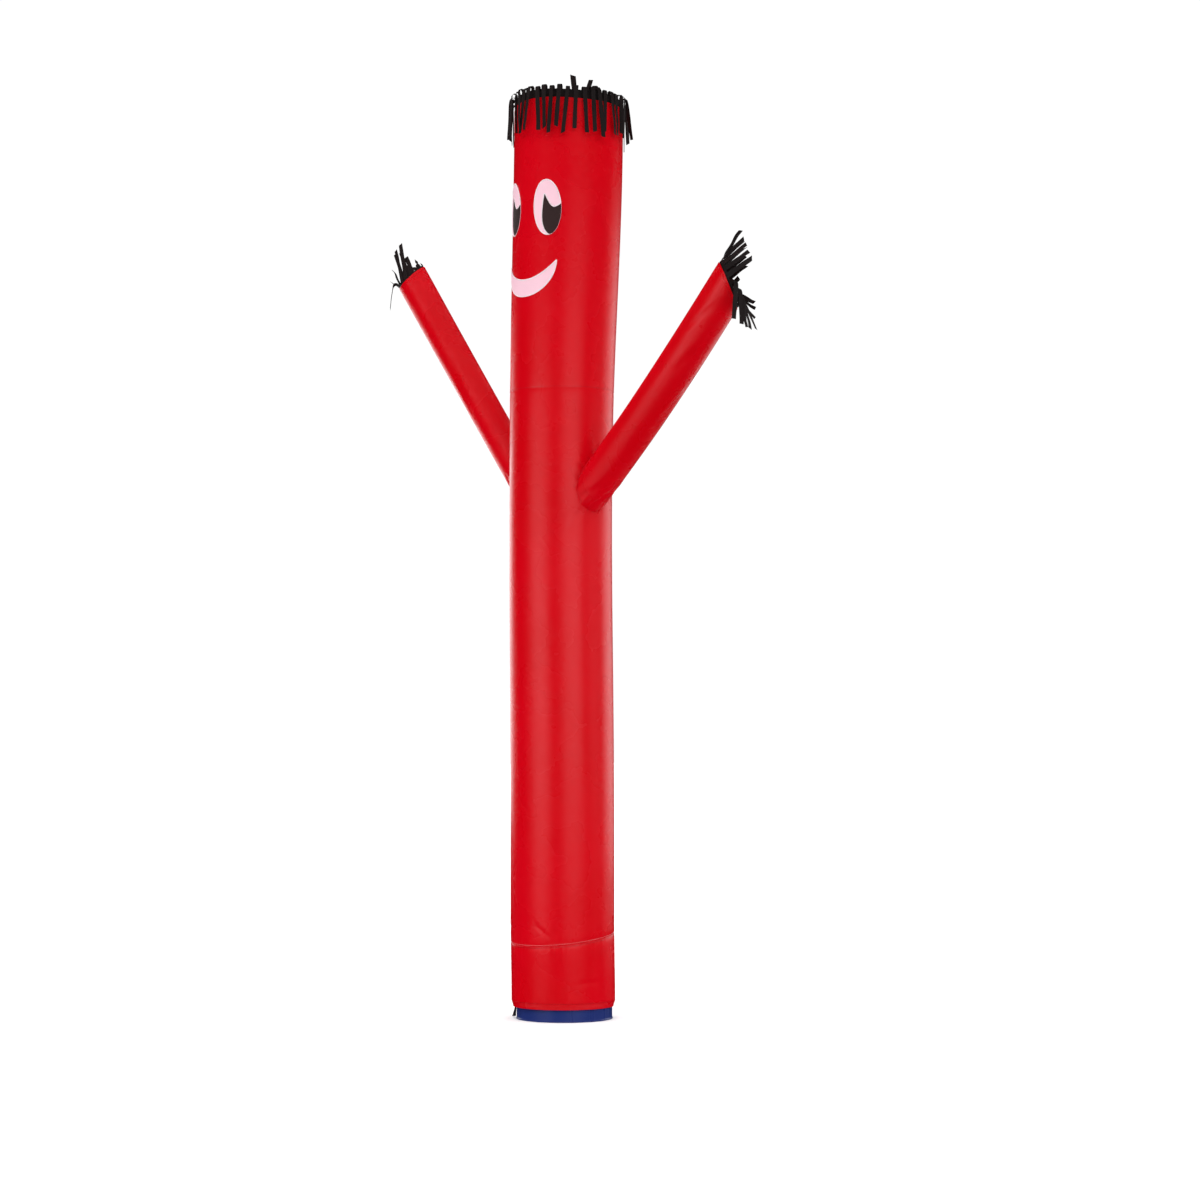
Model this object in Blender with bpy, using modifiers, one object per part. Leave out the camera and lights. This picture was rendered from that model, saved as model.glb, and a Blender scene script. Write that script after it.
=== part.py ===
"""Inflatable air dancer on the outlet collar of its blower, blown up and standing.

Metres, +Z up. The origin is the centre of the collar's foot, the face looks along -Y and the two arms
point along +X and -X. Angles round the tube are measured from the face, -Y, towards +X.
"""

import math
import random

import bmesh
import bpy
from mathutils import Vector

# Cloth, clearances and columns round the tube
CLOTH = 0.0015
PATCH = 0.0010
RIBBON = 0.0012
GAP = 0.0003
MERGE = 0.00002
COLUMNS = 48

# Blower collar
COLLAR_RADIUS = 0.1395
COLLAR_WALL = 0.0070
COLLAR_HEIGHT = 0.080
COLLAR_EDGE = 0.0012
COLLAR_BEAD = 0.0012
BEAD_TALL = 0.0048

# Loose end of the strap that draws in the hem
STRAP_AT = math.radians(-47)
STRAP_WIDTH, STRAP_THICK = 0.018, 0.0016
STRAP_ROWS = (
    # height, distance from the collar's axis, twist in degrees
    dict(z=0.0560, out=0.1424, twist=0),
    dict(z=0.0440, out=0.1428, twist=1),
    dict(z=0.0350, out=0.1434, twist=4),
    dict(z=0.0250, out=0.1446, twist=10),
    dict(z=0.0140, out=0.1468, twist=17),
    dict(z=0.0040, out=0.1486, twist=24),
)

# Tube: radii are of its outer face
TUBE_RADIUS = 0.1512
HEAD_EXTRA = 0.0088
HEAD_FROM, HEAD_TO = 1.50, 2.55
HEM_HEIGHT = 0.0365
HEM_DRAW = 0.0050
HEM_DRAW_RISE = 0.020
SEAM_HEIGHT = 0.236
SEAM_TILT = 0.020
SEAM_TILT_AT = math.radians(5)
RIM_HEIGHT = 2.662
RIM_TILT = 0.013
RIM_TILT_AT = math.radians(30)
RIM_WAVE = 0.003
BASE_ROWS, BODY_ROWS = 6, 15
CROWDED_AT_HEM = 1.7

# Slow curve of the standing tube, along one bearing from +X
SWAY_BEARING = math.radians(48)
SWAY_FOOT = -0.003
SWAY_LOW, SWAY_LOW_OVER = -0.003, 0.30
SWAY_BELLY, BELLY_AT, BELLY_WIDE = -0.006, 1.40, 0.50
SWAY_HEAD, SWAY_HEAD_FROM, SWAY_HEAD_TO = 0.017, 1.75, 2.65

# Arms. Each axis leaves the tube's axis at a height and rises by so many degrees. Root and tip are radii,
# and bow is how far the middle lifts. The mouth is cut at a slant, longest at slant_at, an angle from the
# upper side.
ARMS = (
    dict(name="right", side=1, height=1.423, rise=41.8, length=0.956, root=0.0570, tip=0.0580, bow=-0.0155,
         slant=0.053, slant_at=78),
    dict(name="left", side=-1, height=1.390, rise=50.3, length=1.134, root=0.0485, tip=0.0520, bow=-0.0026,
         slant=0.032, slant_at=103),
)
ARM_COLUMNS, ARM_RINGS = 24, 8
ARM_START = 0.03
GUIDE_LOW, GUIDE_HIGH, GUIDE_ROWS = 1.20, 1.95, 6
HOLE_REACH, HOLE_ROWS = 0.35, 3

# Fringe: a header strip inside each open end, cut into ribbons
RIBBON_WIDTH = 0.0126
HEADER_GAP = 0.0012
HEADER_TUCK = 0.012
HEADER_RISE = 0.008
HEAD_HEADER_RISE = 0.025

# Head ribbons rise, turn over outward and hang; every second one turns wider
HEAD_COUNT = 44
HEAD_STRAND = 0.150
HEAD_RISE = (0.002, 0.006)
HEAD_SEED = 7
TURN_OVER = (0.017, 0.023)
ARCH_STEPS, HANG_STEPS = 4, 2
HEAD_BEND = (176, 184)
HEAD_LEAN = (-0.12, 0.12)
TURN_SPREAD = (0.95, 1.10)
STRAND_SPREAD = (0.97, 1.04)
ODD_RIBBONS = (
    # bearing from the face, length, straight rise, length and angle of the turn, sideways lean
    dict(at=221, length=0.140, rise=0.052, turn=0.075, bend=8, lean=0.12),
    dict(at=213, length=0.130, rise=0.045, turn=0.080, bend=22, lean=-0.20),
    dict(at=205, length=0.146, rise=0.096, turn=0.030, bend=160, lean=-0.10),
    dict(at=196, length=0.146, rise=0.092, turn=0.026, bend=165, lean=0.05),
    dict(at=245, length=0.146, rise=0.070, turn=0.032, bend=164, lean=0.16),
    dict(at=262, length=0.146, rise=0.060, turn=0.030, bend=168, lean=-0.10),
    dict(at=278, length=0.146, rise=0.044, turn=0.026, bend=170, lean=0.12),
    dict(at=295, length=0.146, rise=0.026, turn=0.026, bend=174, lean=-0.12),
    dict(at=311, length=0.140, rise=0.008, turn=0.020, bend=177, lean=0.10),
    dict(at=327, length=0.140, rise=0.003, turn=0.022, bend=178, lean=-0.10),
    dict(at=344, length=0.140, rise=0.004, turn=0.020, bend=180, lean=0.05),
    dict(at=90, length=0.140, rise=0.003, turn=0.016, bend=178, lean=-0.06),
    dict(at=98, length=0.140, rise=0.003, turn=0.018, bend=178, lean=0.08),
    dict(at=106, length=0.136, rise=0.003, turn=0.014, bend=178, lean=0.02),
    dict(at=115, length=0.136, rise=0.003, turn=0.022, bend=178, lean=-0.06),
    dict(at=131, length=0.140, rise=0.003, turn=0.024, bend=173, lean=0.08),
    dict(at=147, length=0.140, rise=0.004, turn=0.022, bend=178, lean=-0.10),
    dict(at=164, length=0.140, rise=0.024, turn=0.024, bend=176, lean=0.10),
)

# Arm ribbons, in order round the mouth from its upper side. Each row is a ribbon's length, how far its
# heading falls below the arm's, how far it leans outward, the share by which it turns down, and how far the
# air carries it along as it hangs
ARM_RIBBONS = dict(
    right=(
        (0.100, 0.26, 0.00, 0.05, 0.00), (0.102, 0.22, 0.00, 0.05, 0.00), (0.102, 0.24, 0.00, 0.00, 0.00),
        (0.108, 0.00, 0.03, 0.00, 0.00), (0.102, 0.28, 0.00, 0.05, 0.00), (0.098, 0.33, -0.03, 0.05, 0.00),
        (0.094, 0.34, -0.10, 0.05, 0.00), (0.134, 0.20, 0.30, 1.00, -0.08), (0.128, 0.20, 0.20, 1.00, 0.04),
        (0.118, 0.20, 0.15, 1.00, 0.12), (0.108, 0.20, 0.10, 1.00, 0.24), (0.112, 0.20, 0.10, 1.00, 0.52),
        (0.080, 0.20, 0.10, 1.00, 0.25), (0.085, 0.30, 0.10, 0.90, 0.80), (0.088, 0.25, 0.00, 0.75, 1.15),
        (0.092, 0.60, 0.00, 0.60, 1.10), (0.045, 0.10, 0.00, 0.05, 0.00), (0.088, 0.24, -0.10, 0.05, 0.00),
        (0.094, 0.28, 0.00, 0.05, 0.00),
    ),
    left=(
        (0.028, 0.00, 0.00, 0.00, 0.00), (0.012, 0.00, 0.00, 0.00, 0.00), (0.010, 0.00, 0.00, 0.00, 0.00),
        (0.012, 0.00, 0.00, 0.00, 0.00), (0.032, -0.33, 0.00, 0.00, 0.00), (0.084, -0.12, 0.00, 0.00, 0.00),
        (0.110, -0.25, 0.00, 0.00, 0.00), (0.118, -0.24, 0.00, 0.00, 0.00), (0.076, -0.05, 0.00, 0.00, 0.00),
        (0.052, 0.40, 0.00, 0.00, 0.00), (0.100, 0.00, 0.40, 1.00, 0.10), (0.112, -0.42, 0.00, 0.00, 0.00),
        (0.116, -0.48, 0.00, 0.00, 0.00), (0.046, -0.45, 0.00, 0.00, 0.00), (0.012, -0.10, 0.00, 0.00, 0.00),
    ),
)
STRAND_STEP = 0.019
TURNS_DOWN_BY = 0.40
HANGS_OUTWARD = 0.10

# Face: sheets on the tube. A pupil's points are across and up from its eye's middle
PATCH_OFF = 0.0004
PATCH_ROWS = 2
EYE_WIDE, EYE_TALL = 0.0433, 0.0815
EYE_LEAN = -0.060
EYES = (
    dict(name="right", angle=math.radians(28.3), height=2.354, wide=1.0, tall=1.0),
    dict(name="left", angle=math.radians(-24.5), height=2.3645, wide=1.06, tall=0.97),
)
EYE_COLUMNS, PUPIL_COLUMNS, MOUTH_COLUMNS = 18, 8, 32
PUPIL_INSET = 0.0006
PUPIL_LEFT, PUPIL_LEFT_HEIGHT = -0.0151, -0.0308
PUPIL_PEAK, PUPIL_PEAK_HEIGHT = -0.0057, 0.0375
PUPIL_NOTCH, PUPIL_NOTCH_HEIGHT = 0.0223, -0.0020
PUPIL_LOWEST = 0.013
PUPIL_RISE = 0.010
PUPIL_SIDE_CURVE, PUPIL_RISE_CURVE = 0.6, 1.5
MOUTH_ANGLE = math.radians(4.3)
MOUTH_LEFT, MOUTH_RIGHT = 0.118, 0.1005
MOUTH_LOW, MOUTH_MIDDLE, MOUTH_TIP = 2.0985, 2.1495, 2.2005

COLLECTION = "air_dancer"
CUTTERS = "air_dancer_cutters"


def smooth(value, start=0.0, end=1.0):
    """0 before start, 1 after end, and an S curve between them."""
    t = min(max((value - start) / (end - start), 0.0), 1.0)
    return t * t * (3 - 2 * t)


def mix(a, b, t):
    return a + (b - a) * t


# ---- the tube's form ----


def around(angle):
    """The unit vector that points out of the tube at an angle measured from the face."""
    return Vector((math.sin(angle), -math.cos(angle), 0.0))


def tube_centre(z):
    bell = math.exp(-(((z - BELLY_AT) / BELLY_WIDE) ** 2))
    sway = SWAY_FOOT + SWAY_LOW * smooth(z, HEM_HEIGHT, SWAY_LOW_OVER) + SWAY_BELLY * bell
    sway += SWAY_HEAD * smooth(z, SWAY_HEAD_FROM, SWAY_HEAD_TO)
    return Vector((sway * math.cos(SWAY_BEARING), sway * math.sin(SWAY_BEARING), z))


def tube_radius(z):
    drawn_in = HEM_DRAW * (1 - smooth(z, HEM_HEIGHT, HEM_HEIGHT + HEM_DRAW_RISE))
    return TUBE_RADIUS - drawn_in + HEAD_EXTRA * smooth(z, HEAD_FROM, HEAD_TO)


def on_tube(angle, z, stand_off=0.0):
    return tube_centre(z) + around(angle) * (tube_radius(z) + stand_off)


def seam_height(angle):
    """The sloping seam between the base section and the body."""
    return SEAM_HEIGHT - SEAM_TILT * math.cos(angle - SEAM_TILT_AT)


def rim_height(angle):
    return RIM_HEIGHT + RIM_TILT * math.cos(angle - RIM_TILT_AT) + RIM_WAVE * math.cos(3 * angle)


# ---- making objects ----


def clear_scene():
    for obj in list(bpy.data.objects):
        bpy.data.objects.remove(obj, do_unlink=True)


def collection(name):
    made = bpy.data.collections.new(name)
    bpy.context.scene.collection.children.link(made)
    return made


def material(name, colour, roughness, metallic=0.0):
    made = bpy.data.materials.new(name)
    made.use_nodes = True
    shader = made.node_tree.nodes["Principled BSDF"]
    shader.inputs["Base Color"].default_value = (*colour, 1.0)
    shader.inputs["Roughness"].default_value = roughness
    shader.inputs["Metallic"].default_value = metallic
    made.diffuse_color = (*colour, 1.0)
    return made


def add_object(name, bm, finish, parent):
    """Turns a bmesh into a named, smooth-shaded object with its own material."""
    mesh = bpy.data.meshes.new(name)
    bm.to_mesh(mesh)
    bm.free()
    obj = bpy.data.objects.new(name, mesh)
    bpy.data.collections[COLLECTION].objects.link(obj)
    mesh.materials.append(finish)
    mesh.shade_smooth()
    mesh.set_sharp_from_angle(angle=math.radians(35))
    obj.parent = parent
    return obj


def add_cutter(name, bm):
    mesh = bpy.data.meshes.new(name)
    bm.to_mesh(mesh)
    bm.free()
    obj = bpy.data.objects.new(name, mesh)
    bpy.data.collections[CUTTERS].objects.link(obj)
    obj.hide_render = True
    obj.display_type = "WIRE"
    return obj


def thicken(obj, thickness, outward=False):
    """A wall of one thickness from an open surface, inward unless it says outward."""
    solidify = obj.modifiers.new("wall", "SOLIDIFY")
    solidify.thickness = thickness
    solidify.offset = 1.0 if outward else -1.0
    solidify.use_even_offset = True


def cut(obj, cutter):
    boolean = obj.modifiers.new(cutter.name, "BOOLEAN")
    boolean.operation = "DIFFERENCE"
    boolean.solver = "EXACT"
    boolean.object = cutter


def shaped_tube(columns, rings, place, capped=False):
    """A cylinder of so many rings of faces, each point put where place(angle, share of height) says."""
    bm = bmesh.new()
    bmesh.ops.create_cone(bm, cap_ends=capped, segments=columns, radius1=1.0, radius2=1.0, depth=1.0)
    uprights = [e for e in bm.edges if abs(e.verts[0].co.z - e.verts[1].co.z) > 0.5]
    bmesh.ops.subdivide_edges(bm, edges=uprights, cuts=rings - 1, use_grid_fill=True)
    for vert in bm.verts:
        vert.co = place(math.atan2(vert.co.x, -vert.co.y), min(max(vert.co.z + 0.5, 0.0), 1.0))
    return bm


# ---- collar and strap ----


def make_collar(finish, parent):
    """A turned ring: a profile down its outer side, over its foot, up its inner side and over its top."""
    outer, inner, edge, top = COLLAR_RADIUS, COLLAR_RADIUS - COLLAR_WALL, COLLAR_EDGE, COLLAR_HEIGHT
    bead, bead_tall = COLLAR_BEAD, BEAD_TALL
    profile = (
        (outer - edge, top),
        (outer, top - edge),
        (outer, bead_tall),
        (outer + bead, bead_tall - bead),
        (outer + bead, edge),
        (outer + bead - edge, 0.0),
        (inner + edge, 0.0),
        (inner, edge),
        (inner, top - edge),
        (inner + edge, top),
    )
    bm = bmesh.new()
    verts = [bm.verts.new((r, 0.0, z)) for r, z in profile]
    for first, second in zip(verts, verts[1:] + verts[:1]):
        bm.edges.new((first, second))
    mesh = bpy.data.meshes.new("collar")
    bm.to_mesh(mesh)
    bm.free()
    mesh.materials.append(finish)
    obj = bpy.data.objects.new("collar", mesh)
    bpy.data.collections[COLLECTION].objects.link(obj)
    obj.parent = parent
    screw = obj.modifiers.new("turn", "SCREW")
    screw.axis = "Z"
    screw.steps = screw.render_steps = COLUMNS
    screw.use_merge_vertices = True
    screw.merge_threshold = MERGE
    screw.use_smooth_shade = False


def make_strap_tail(finish, parent):
    """The loose end of the strap that draws in the hem, a flat ribbon that turns as it hangs."""
    out, across = around(STRAP_AT), around(STRAP_AT + math.pi / 2)
    rails = []
    for row in STRAP_ROWS:
        twist = math.radians(row["twist"])
        half = (across * math.cos(twist) + out * math.sin(twist)) * STRAP_WIDTH / 2
        middle = out * row["out"] + Vector((0, 0, row["z"]))
        rails.append((middle - half, middle + half))
    bm = bmesh.new()
    add_ribbon(bm, rails)
    obj = add_object("strap_tail", bm, finish, parent)
    thicken(obj, STRAP_THICK)


def add_ribbon(bm, rails, first=None):
    """A strip of quads between two rails; its first two points may be ones that the mesh has already."""
    last = first or [bm.verts.new(p) for p in rails[0]]
    for left, right in rails[1:]:
        new = [bm.verts.new(left), bm.verts.new(right)]
        bm.faces.new((last[0], last[1], new[1], new[0]))
        last = new


# ---- red tube ----


def make_tube(finish, parent):
    """The two lengths of the tube, with a seam between them that slopes round it."""

    def base_place(angle, share):
        low, high = HEM_HEIGHT, seam_height(angle) - GAP / 2
        return on_tube(angle, mix(low, high, share**CROWDED_AT_HEM))

    def body_place(angle, share):
        low, high = seam_height(angle) + GAP / 2, rim_height(angle)
        return on_tube(angle, mix(low, high, share))

    base = add_object("base_section", shaped_tube(COLUMNS, BASE_ROWS, base_place), finish, parent)
    thicken(base, CLOTH)
    body = add_object("body_tube", shaped_tube(COLUMNS, BODY_ROWS, body_place), finish, parent)
    thicken(body, CLOTH)
    return body


def body_guide():
    """The tube's outer face with the clearance added, closed, for trimming the arms."""

    def place(angle, share):
        return on_tube(angle, mix(GUIDE_LOW, GUIDE_HIGH, share), GAP)

    return add_cutter("body_guide", shaped_tube(COLUMNS, GUIDE_ROWS, place, capped=True))


# ---- arms ----


def arm_axes(arm):
    """The arm's base point, and its directions along, up from it and sideways."""
    rise = math.radians(arm["rise"])
    along = Vector((arm["side"] * math.cos(rise), 0.0, math.sin(rise)))
    up = Vector((-arm["side"] * math.sin(rise), 0.0, math.cos(rise)))
    return tube_centre(arm["height"]), along, up, along.cross(up)


def arm_point(arm, angle, share, shrink=0.0):
    """A point of the arm's surface. Angle 0 is its upper side, share 0 the tube's axis and 1 the mouth."""
    base, along, up, side = arm_axes(arm)
    distance = mix(ARM_START, arm_length(arm, angle), share)
    radius = mix(arm["root"], arm["tip"], share) - shrink
    rise = radius * math.cos(angle) + arm["bow"] * math.sin(math.pi * share)
    return base + along * distance + up * rise + side * (radius * math.sin(angle))


def arm_length(arm, angle):
    """From the tube's axis to the slanted mouth, at one angle round the arm."""
    return arm["length"] + arm["slant"] * math.cos(angle - math.radians(arm["slant_at"]))


def make_arm(arm, finish, guide, parent):
    def place(angle, share):
        return arm_point(arm, angle, share)

    obj = add_object("arm_" + arm["name"], shaped_tube(ARM_COLUMNS, ARM_RINGS, place), finish, parent)
    thicken(obj, CLOTH)
    cut(obj, guide)


def arm_hole(arm):
    """The arm's inside as a closed plug, from the tube's axis to past the tube's wall."""

    def place(angle, share):
        return arm_point(arm, angle, share * HOLE_REACH, CLOTH)

    return add_cutter("hole_" + arm["name"], shaped_tube(ARM_COLUMNS, HOLE_ROWS, place, capped=True))


# ---- fringe ----


def make_fringe(name, count, width_angle, header_rise, header_point, strand, finish, parent):
    """A header strip round an open end, cut into ribbons; strand(i) gives a ribbon's rails."""
    bm = bmesh.new()
    angles = []
    for i in range(count):
        middle = 2 * math.pi * i / count
        angles += [middle - width_angle / 2, middle + width_angle / 2]
    low = [bm.verts.new(header_point(a, -HEADER_TUCK)) for a in angles]
    high = [bm.verts.new(header_point(a, header_rise)) for a in angles]
    for i in range(2 * count):
        j = (i + 1) % (2 * count)
        bm.faces.new((low[i], low[j], high[j], high[i]))
    for i in range(count):
        add_ribbon(bm, strand(i), first=high[2 * i : 2 * i + 2])
    obj = add_object(name, bm, finish, parent)
    thicken(obj, RIBBON)


def ribbon_rails(root, steps, across):
    """Two rails, half a ribbon's width each side of a line that starts at root and adds up its steps."""
    half = across * RIBBON_WIDTH / 2
    rails, middle = [(root - half, root + half)], root.copy()
    for step in steps:
        middle = middle + step
        rails.append((middle - half, middle + half))
    return rails


def head_header(angle, above_rim):
    z = rim_height(angle) + above_rim
    return on_tube(angle, z, -CLOTH - HEADER_GAP)


def make_head_fringe(finish, parent):
    pick = random.Random(HEAD_SEED)
    odd = {round(row["at"] * HEAD_COUNT / 360) % HEAD_COUNT: row for row in ODD_RIBBONS}

    def strand(i):
        """A ribbon that rises from the header, turns over outward and hangs."""
        angle = 2 * math.pi * i / HEAD_COUNT
        out, across = around(angle), around(angle + math.pi / 2)
        length = HEAD_STRAND * pick.uniform(*STRAND_SPREAD)
        bend = math.radians(pick.uniform(*HEAD_BEND))
        turn = TURN_OVER[i % 2] * pick.uniform(*TURN_SPREAD)
        lean, rise = pick.uniform(*HEAD_LEAN), pick.uniform(*HEAD_RISE)
        if i in odd:
            row = odd[i]
            length, rise, turn = row["length"], row["rise"], row["turn"]
            lean, bend = row["lean"], math.radians(row["bend"])
        rest = length - rise - turn
        pieces = [rise] + [turn / ARCH_STEPS] * ARCH_STEPS + [rest / HANG_STEPS] * HANG_STEPS
        steps, done = [], 0.0
        for piece in pieces:
            swung = bend * min(max((done + piece / 2 - rise) / turn, 0.0), 1.0)
            heading = Vector((0, 0, math.cos(swung))) + out * math.sin(swung)
            steps.append((heading + across * lean * smooth(done, 0, turn)).normalized() * piece)
            done += piece
        return ribbon_rails(head_header(angle, HEAD_HEADER_RISE), steps, across)

    wide = RIBBON_WIDTH / tube_radius(RIM_HEIGHT)
    make_fringe("head_fringe", HEAD_COUNT, wide, HEAD_HEADER_RISE, head_header, strand, finish, parent)


def make_arm_fringe(arm, finish, parent):
    """Ribbons that leave the arm's slanted mouth with the air. Some fly, and some turn down and hang."""
    base, along, up, side = arm_axes(arm)
    radius = arm["tip"] - CLOTH - HEADER_GAP
    ribbons = ARM_RIBBONS[arm["name"]]
    count = len(ribbons)

    def ring(angle):
        return up * math.cos(angle) + side * math.sin(angle)

    def header(angle, beyond):
        return base + along * (arm_length(arm, angle) + beyond) + ring(angle) * radius

    def strand(i):
        """A heading that starts near the arm's own and turns down over the first stretch."""
        angle = 2 * math.pi * i / count
        length, fall, outward, droop, carried = ribbons[i]
        start = (along - up * fall + ring(angle) * outward).normalized()
        limp = ring(angle) * HANGS_OUTWARD + Vector((arm["side"] * carried, 0, -1))
        count_of_steps = math.ceil(length / STRAND_STEP)
        steps, done, piece = [], 0.0, length / count_of_steps
        for _ in range(count_of_steps):
            hang = droop * smooth(done + piece / 2, 0.0, TURNS_DOWN_BY * length)
            steps.append((start * (1 - hang) + limp * hang).normalized() * piece)
            done += piece
        across = side * math.cos(angle) - up * math.sin(angle)
        return ribbon_rails(header(angle, HEADER_RISE), steps, across)

    name = "arm_fringe_" + arm["name"]
    make_fringe(name, count, RIBBON_WIDTH / radius, HEADER_RISE, header, strand, finish, parent)


# ---- face ----


def patch(name, xs, low, high, place, stand_off, finish, parent):
    """A sheet on the tube. At each x across it, it runs from low(x) to high(x) about its place."""
    bm = bmesh.new()
    columns = []
    for x in xs:
        column = []
        for r in range(PATCH_ROWS + 1):
            up = mix(low(x), high(x), r / PATCH_ROWS)
            z = place["height"] + place["tall"] * up
            across = place["wide"] * x + place["lean"] * up
            column.append(bm.verts.new(on_tube(place["angle"] + across / tube_radius(z), z, stand_off)))
        columns.append(column)
    for left, right in zip(columns, columns[1:]):
        for r in range(PATCH_ROWS):
            bm.faces.new((left[r], right[r], right[r + 1], left[r + 1]))
    bmesh.ops.remove_doubles(bm, verts=bm.verts, dist=MERGE)
    obj = add_object(name, bm, finish, parent)
    thicken(obj, PATCH, outward=True)


def spread_xs(start, end, count):
    """Places from start to end, closer together at both."""
    return [mix(start, end, (1 - math.cos(math.pi * i / count)) / 2) for i in range(count + 1)]


def oval(x, wide, tall):
    return tall * math.sqrt(max(1 - (x / wide) ** 2, 0.0))


def pupil_high(x):
    """Up a leaning left side to a peak, down a hollow to the notch, and up a little to the right."""
    wide, tall = EYE_WIDE - PUPIL_INSET, EYE_TALL - PUPIL_INSET
    if x < PUPIL_PEAK:
        t = max((x - PUPIL_LEFT) / (PUPIL_PEAK - PUPIL_LEFT), 0.0)
        return mix(PUPIL_LEFT_HEIGHT, PUPIL_PEAK_HEIGHT, t**PUPIL_SIDE_CURVE)
    if x < PUPIL_NOTCH:
        t = (x - PUPIL_PEAK) / (PUPIL_NOTCH - PUPIL_PEAK)
        return mix(PUPIL_PEAK_HEIGHT, PUPIL_NOTCH_HEIGHT, math.sin(t * math.pi / 2))
    t = (x - PUPIL_NOTCH) / (wide - PUPIL_NOTCH)
    rising = PUPIL_NOTCH_HEIGHT + PUPIL_RISE * t**PUPIL_RISE_CURVE
    return min(rising, oval(x, wide, tall))


def pupil_low(x):
    """A round left side that runs into the eye's own edge."""
    wide, tall = EYE_WIDE - PUPIL_INSET, EYE_TALL - PUPIL_INSET
    reach = PUPIL_LOWEST - PUPIL_LEFT
    t = min((x - PUPIL_LEFT) / reach, 1.0)
    curve = PUPIL_LEFT_HEIGHT - (EYE_TALL + PUPIL_LEFT_HEIGHT) * math.sqrt(max(1 - (1 - t) ** 2, 0.0))
    return max(curve, -oval(x, wide, tall))


def make_face(white, black, mouth, parent):
    eye_xs = spread_xs(-EYE_WIDE, EYE_WIDE, EYE_COLUMNS)
    pupil_xs = spread_xs(PUPIL_LEFT, PUPIL_PEAK, PUPIL_COLUMNS // 2)
    pupil_xs += spread_xs(PUPIL_PEAK, PUPIL_NOTCH, PUPIL_COLUMNS)[1:]
    pupil_xs += spread_xs(PUPIL_NOTCH, EYE_WIDE - PUPIL_INSET, PUPIL_COLUMNS)[1:]
    mouth_xs = [x * (MOUTH_LEFT if x < 0 else MOUTH_RIGHT) for x in spread_xs(-1, 1, MOUTH_COLUMNS)]

    def eye_low(x):
        return -oval(x, EYE_WIDE, EYE_TALL)

    def eye_high(x):
        return oval(x, EYE_WIDE, EYE_TALL)

    def mouth_low(x):
        return -oval(x, MOUTH_LEFT if x < 0 else MOUTH_RIGHT, MOUTH_TIP - MOUTH_LOW)

    def mouth_high(x):
        share = x / (MOUTH_LEFT if x < 0 else MOUTH_RIGHT)
        return (MOUTH_MIDDLE - MOUTH_TIP) * (1 - share**2)

    over_eye = 2 * PATCH_OFF + PATCH
    for eye in EYES:
        place = dict(eye, lean=EYE_LEAN)
        patch("eye_" + eye["name"], eye_xs, eye_low, eye_high, place, PATCH_OFF, white, parent)
        patch("pupil_" + eye["name"], pupil_xs, pupil_low, pupil_high, place, over_eye, black, parent)
    place = dict(angle=MOUTH_ANGLE, height=MOUTH_TIP, wide=1.0, tall=1.0, lean=0.0)
    patch("mouth", mouth_xs, mouth_low, mouth_high, place, PATCH_OFF, mouth, parent)


# ---- whole ----


def main():
    clear_scene()
    collection(COLLECTION)
    collection(CUTTERS)
    root = bpy.data.objects.new("air_dancer_root", None)
    bpy.data.collections[COLLECTION].objects.link(root)

    red = material("red_nylon", (0.60, 0.003, 0.006), 0.38)
    black = material("black_nylon", (0.018, 0.014, 0.014), 0.55)
    white = material("white_nylon", (0.90, 0.66, 0.74), 0.45)
    pupil = material("pupil_nylon", (0.03, 0.018, 0.018), 0.5)
    mouth = material("mouth_nylon", (0.90, 0.62, 0.72), 0.45)
    navy = material("navy_plastic", (0.020, 0.026, 0.14), 0.28)
    webbing = material("black_webbing", (0.012, 0.012, 0.013), 0.7)

    make_collar(navy, root)
    make_strap_tail(webbing, root)
    body = make_tube(red, root)
    guide = body_guide()
    for arm in ARMS:
        make_arm(arm, red, guide, root)
        cut(body, arm_hole(arm))
        make_arm_fringe(arm, black, root)
    make_head_fringe(black, root)
    make_face(white, pupil, mouth, root)


main()
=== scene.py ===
import random
import bpy
import numpy as np
from mathutils import Matrix


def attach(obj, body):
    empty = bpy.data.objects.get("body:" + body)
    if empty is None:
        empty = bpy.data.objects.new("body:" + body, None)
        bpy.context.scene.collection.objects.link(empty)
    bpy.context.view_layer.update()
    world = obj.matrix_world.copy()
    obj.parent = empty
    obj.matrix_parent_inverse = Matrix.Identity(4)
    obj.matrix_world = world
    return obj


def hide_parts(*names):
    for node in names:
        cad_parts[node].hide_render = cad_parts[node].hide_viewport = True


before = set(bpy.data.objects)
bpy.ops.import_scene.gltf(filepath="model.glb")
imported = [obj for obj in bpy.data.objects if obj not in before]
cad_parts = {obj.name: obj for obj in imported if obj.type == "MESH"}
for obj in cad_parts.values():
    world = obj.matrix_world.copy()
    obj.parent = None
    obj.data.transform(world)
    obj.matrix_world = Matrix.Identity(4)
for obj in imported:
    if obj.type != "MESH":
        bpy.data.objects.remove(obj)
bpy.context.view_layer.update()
print("frame:", len(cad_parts), "nodes")

# Angles round the tube are measured from the face, which looks along -Y, towards +X. The camera stands at such
# a bearing and looks a little up. Its foot pixel is where the tube's foot shows
camera = dict(bearing=49.0, pitch=2.0, distance=8.0, metresPerPixel=0.00292, imageSide=1200,
              footPixel=(564.5, 1018.0), axisPixel=(600.0, 642.0), sensor=36.0, farthest=200)
fullTurn, upright = 2 * np.pi, np.array((0.0, 0.0, 1.0))


def around(angle):  # the unit vector that points out of the tube: (sin a, -cos a, 0)
    angle = np.asarray(angle, float)
    return np.stack((np.sin(angle), -np.cos(angle), np.zeros_like(angle)), -1)


def matrixOf(x, y, z, place):  # columns are the object's own axes and its place
    rows = np.eye(4)
    rows[:3] = np.stack((x, y, z, place), 1)
    return Matrix(rows.tolist())


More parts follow.
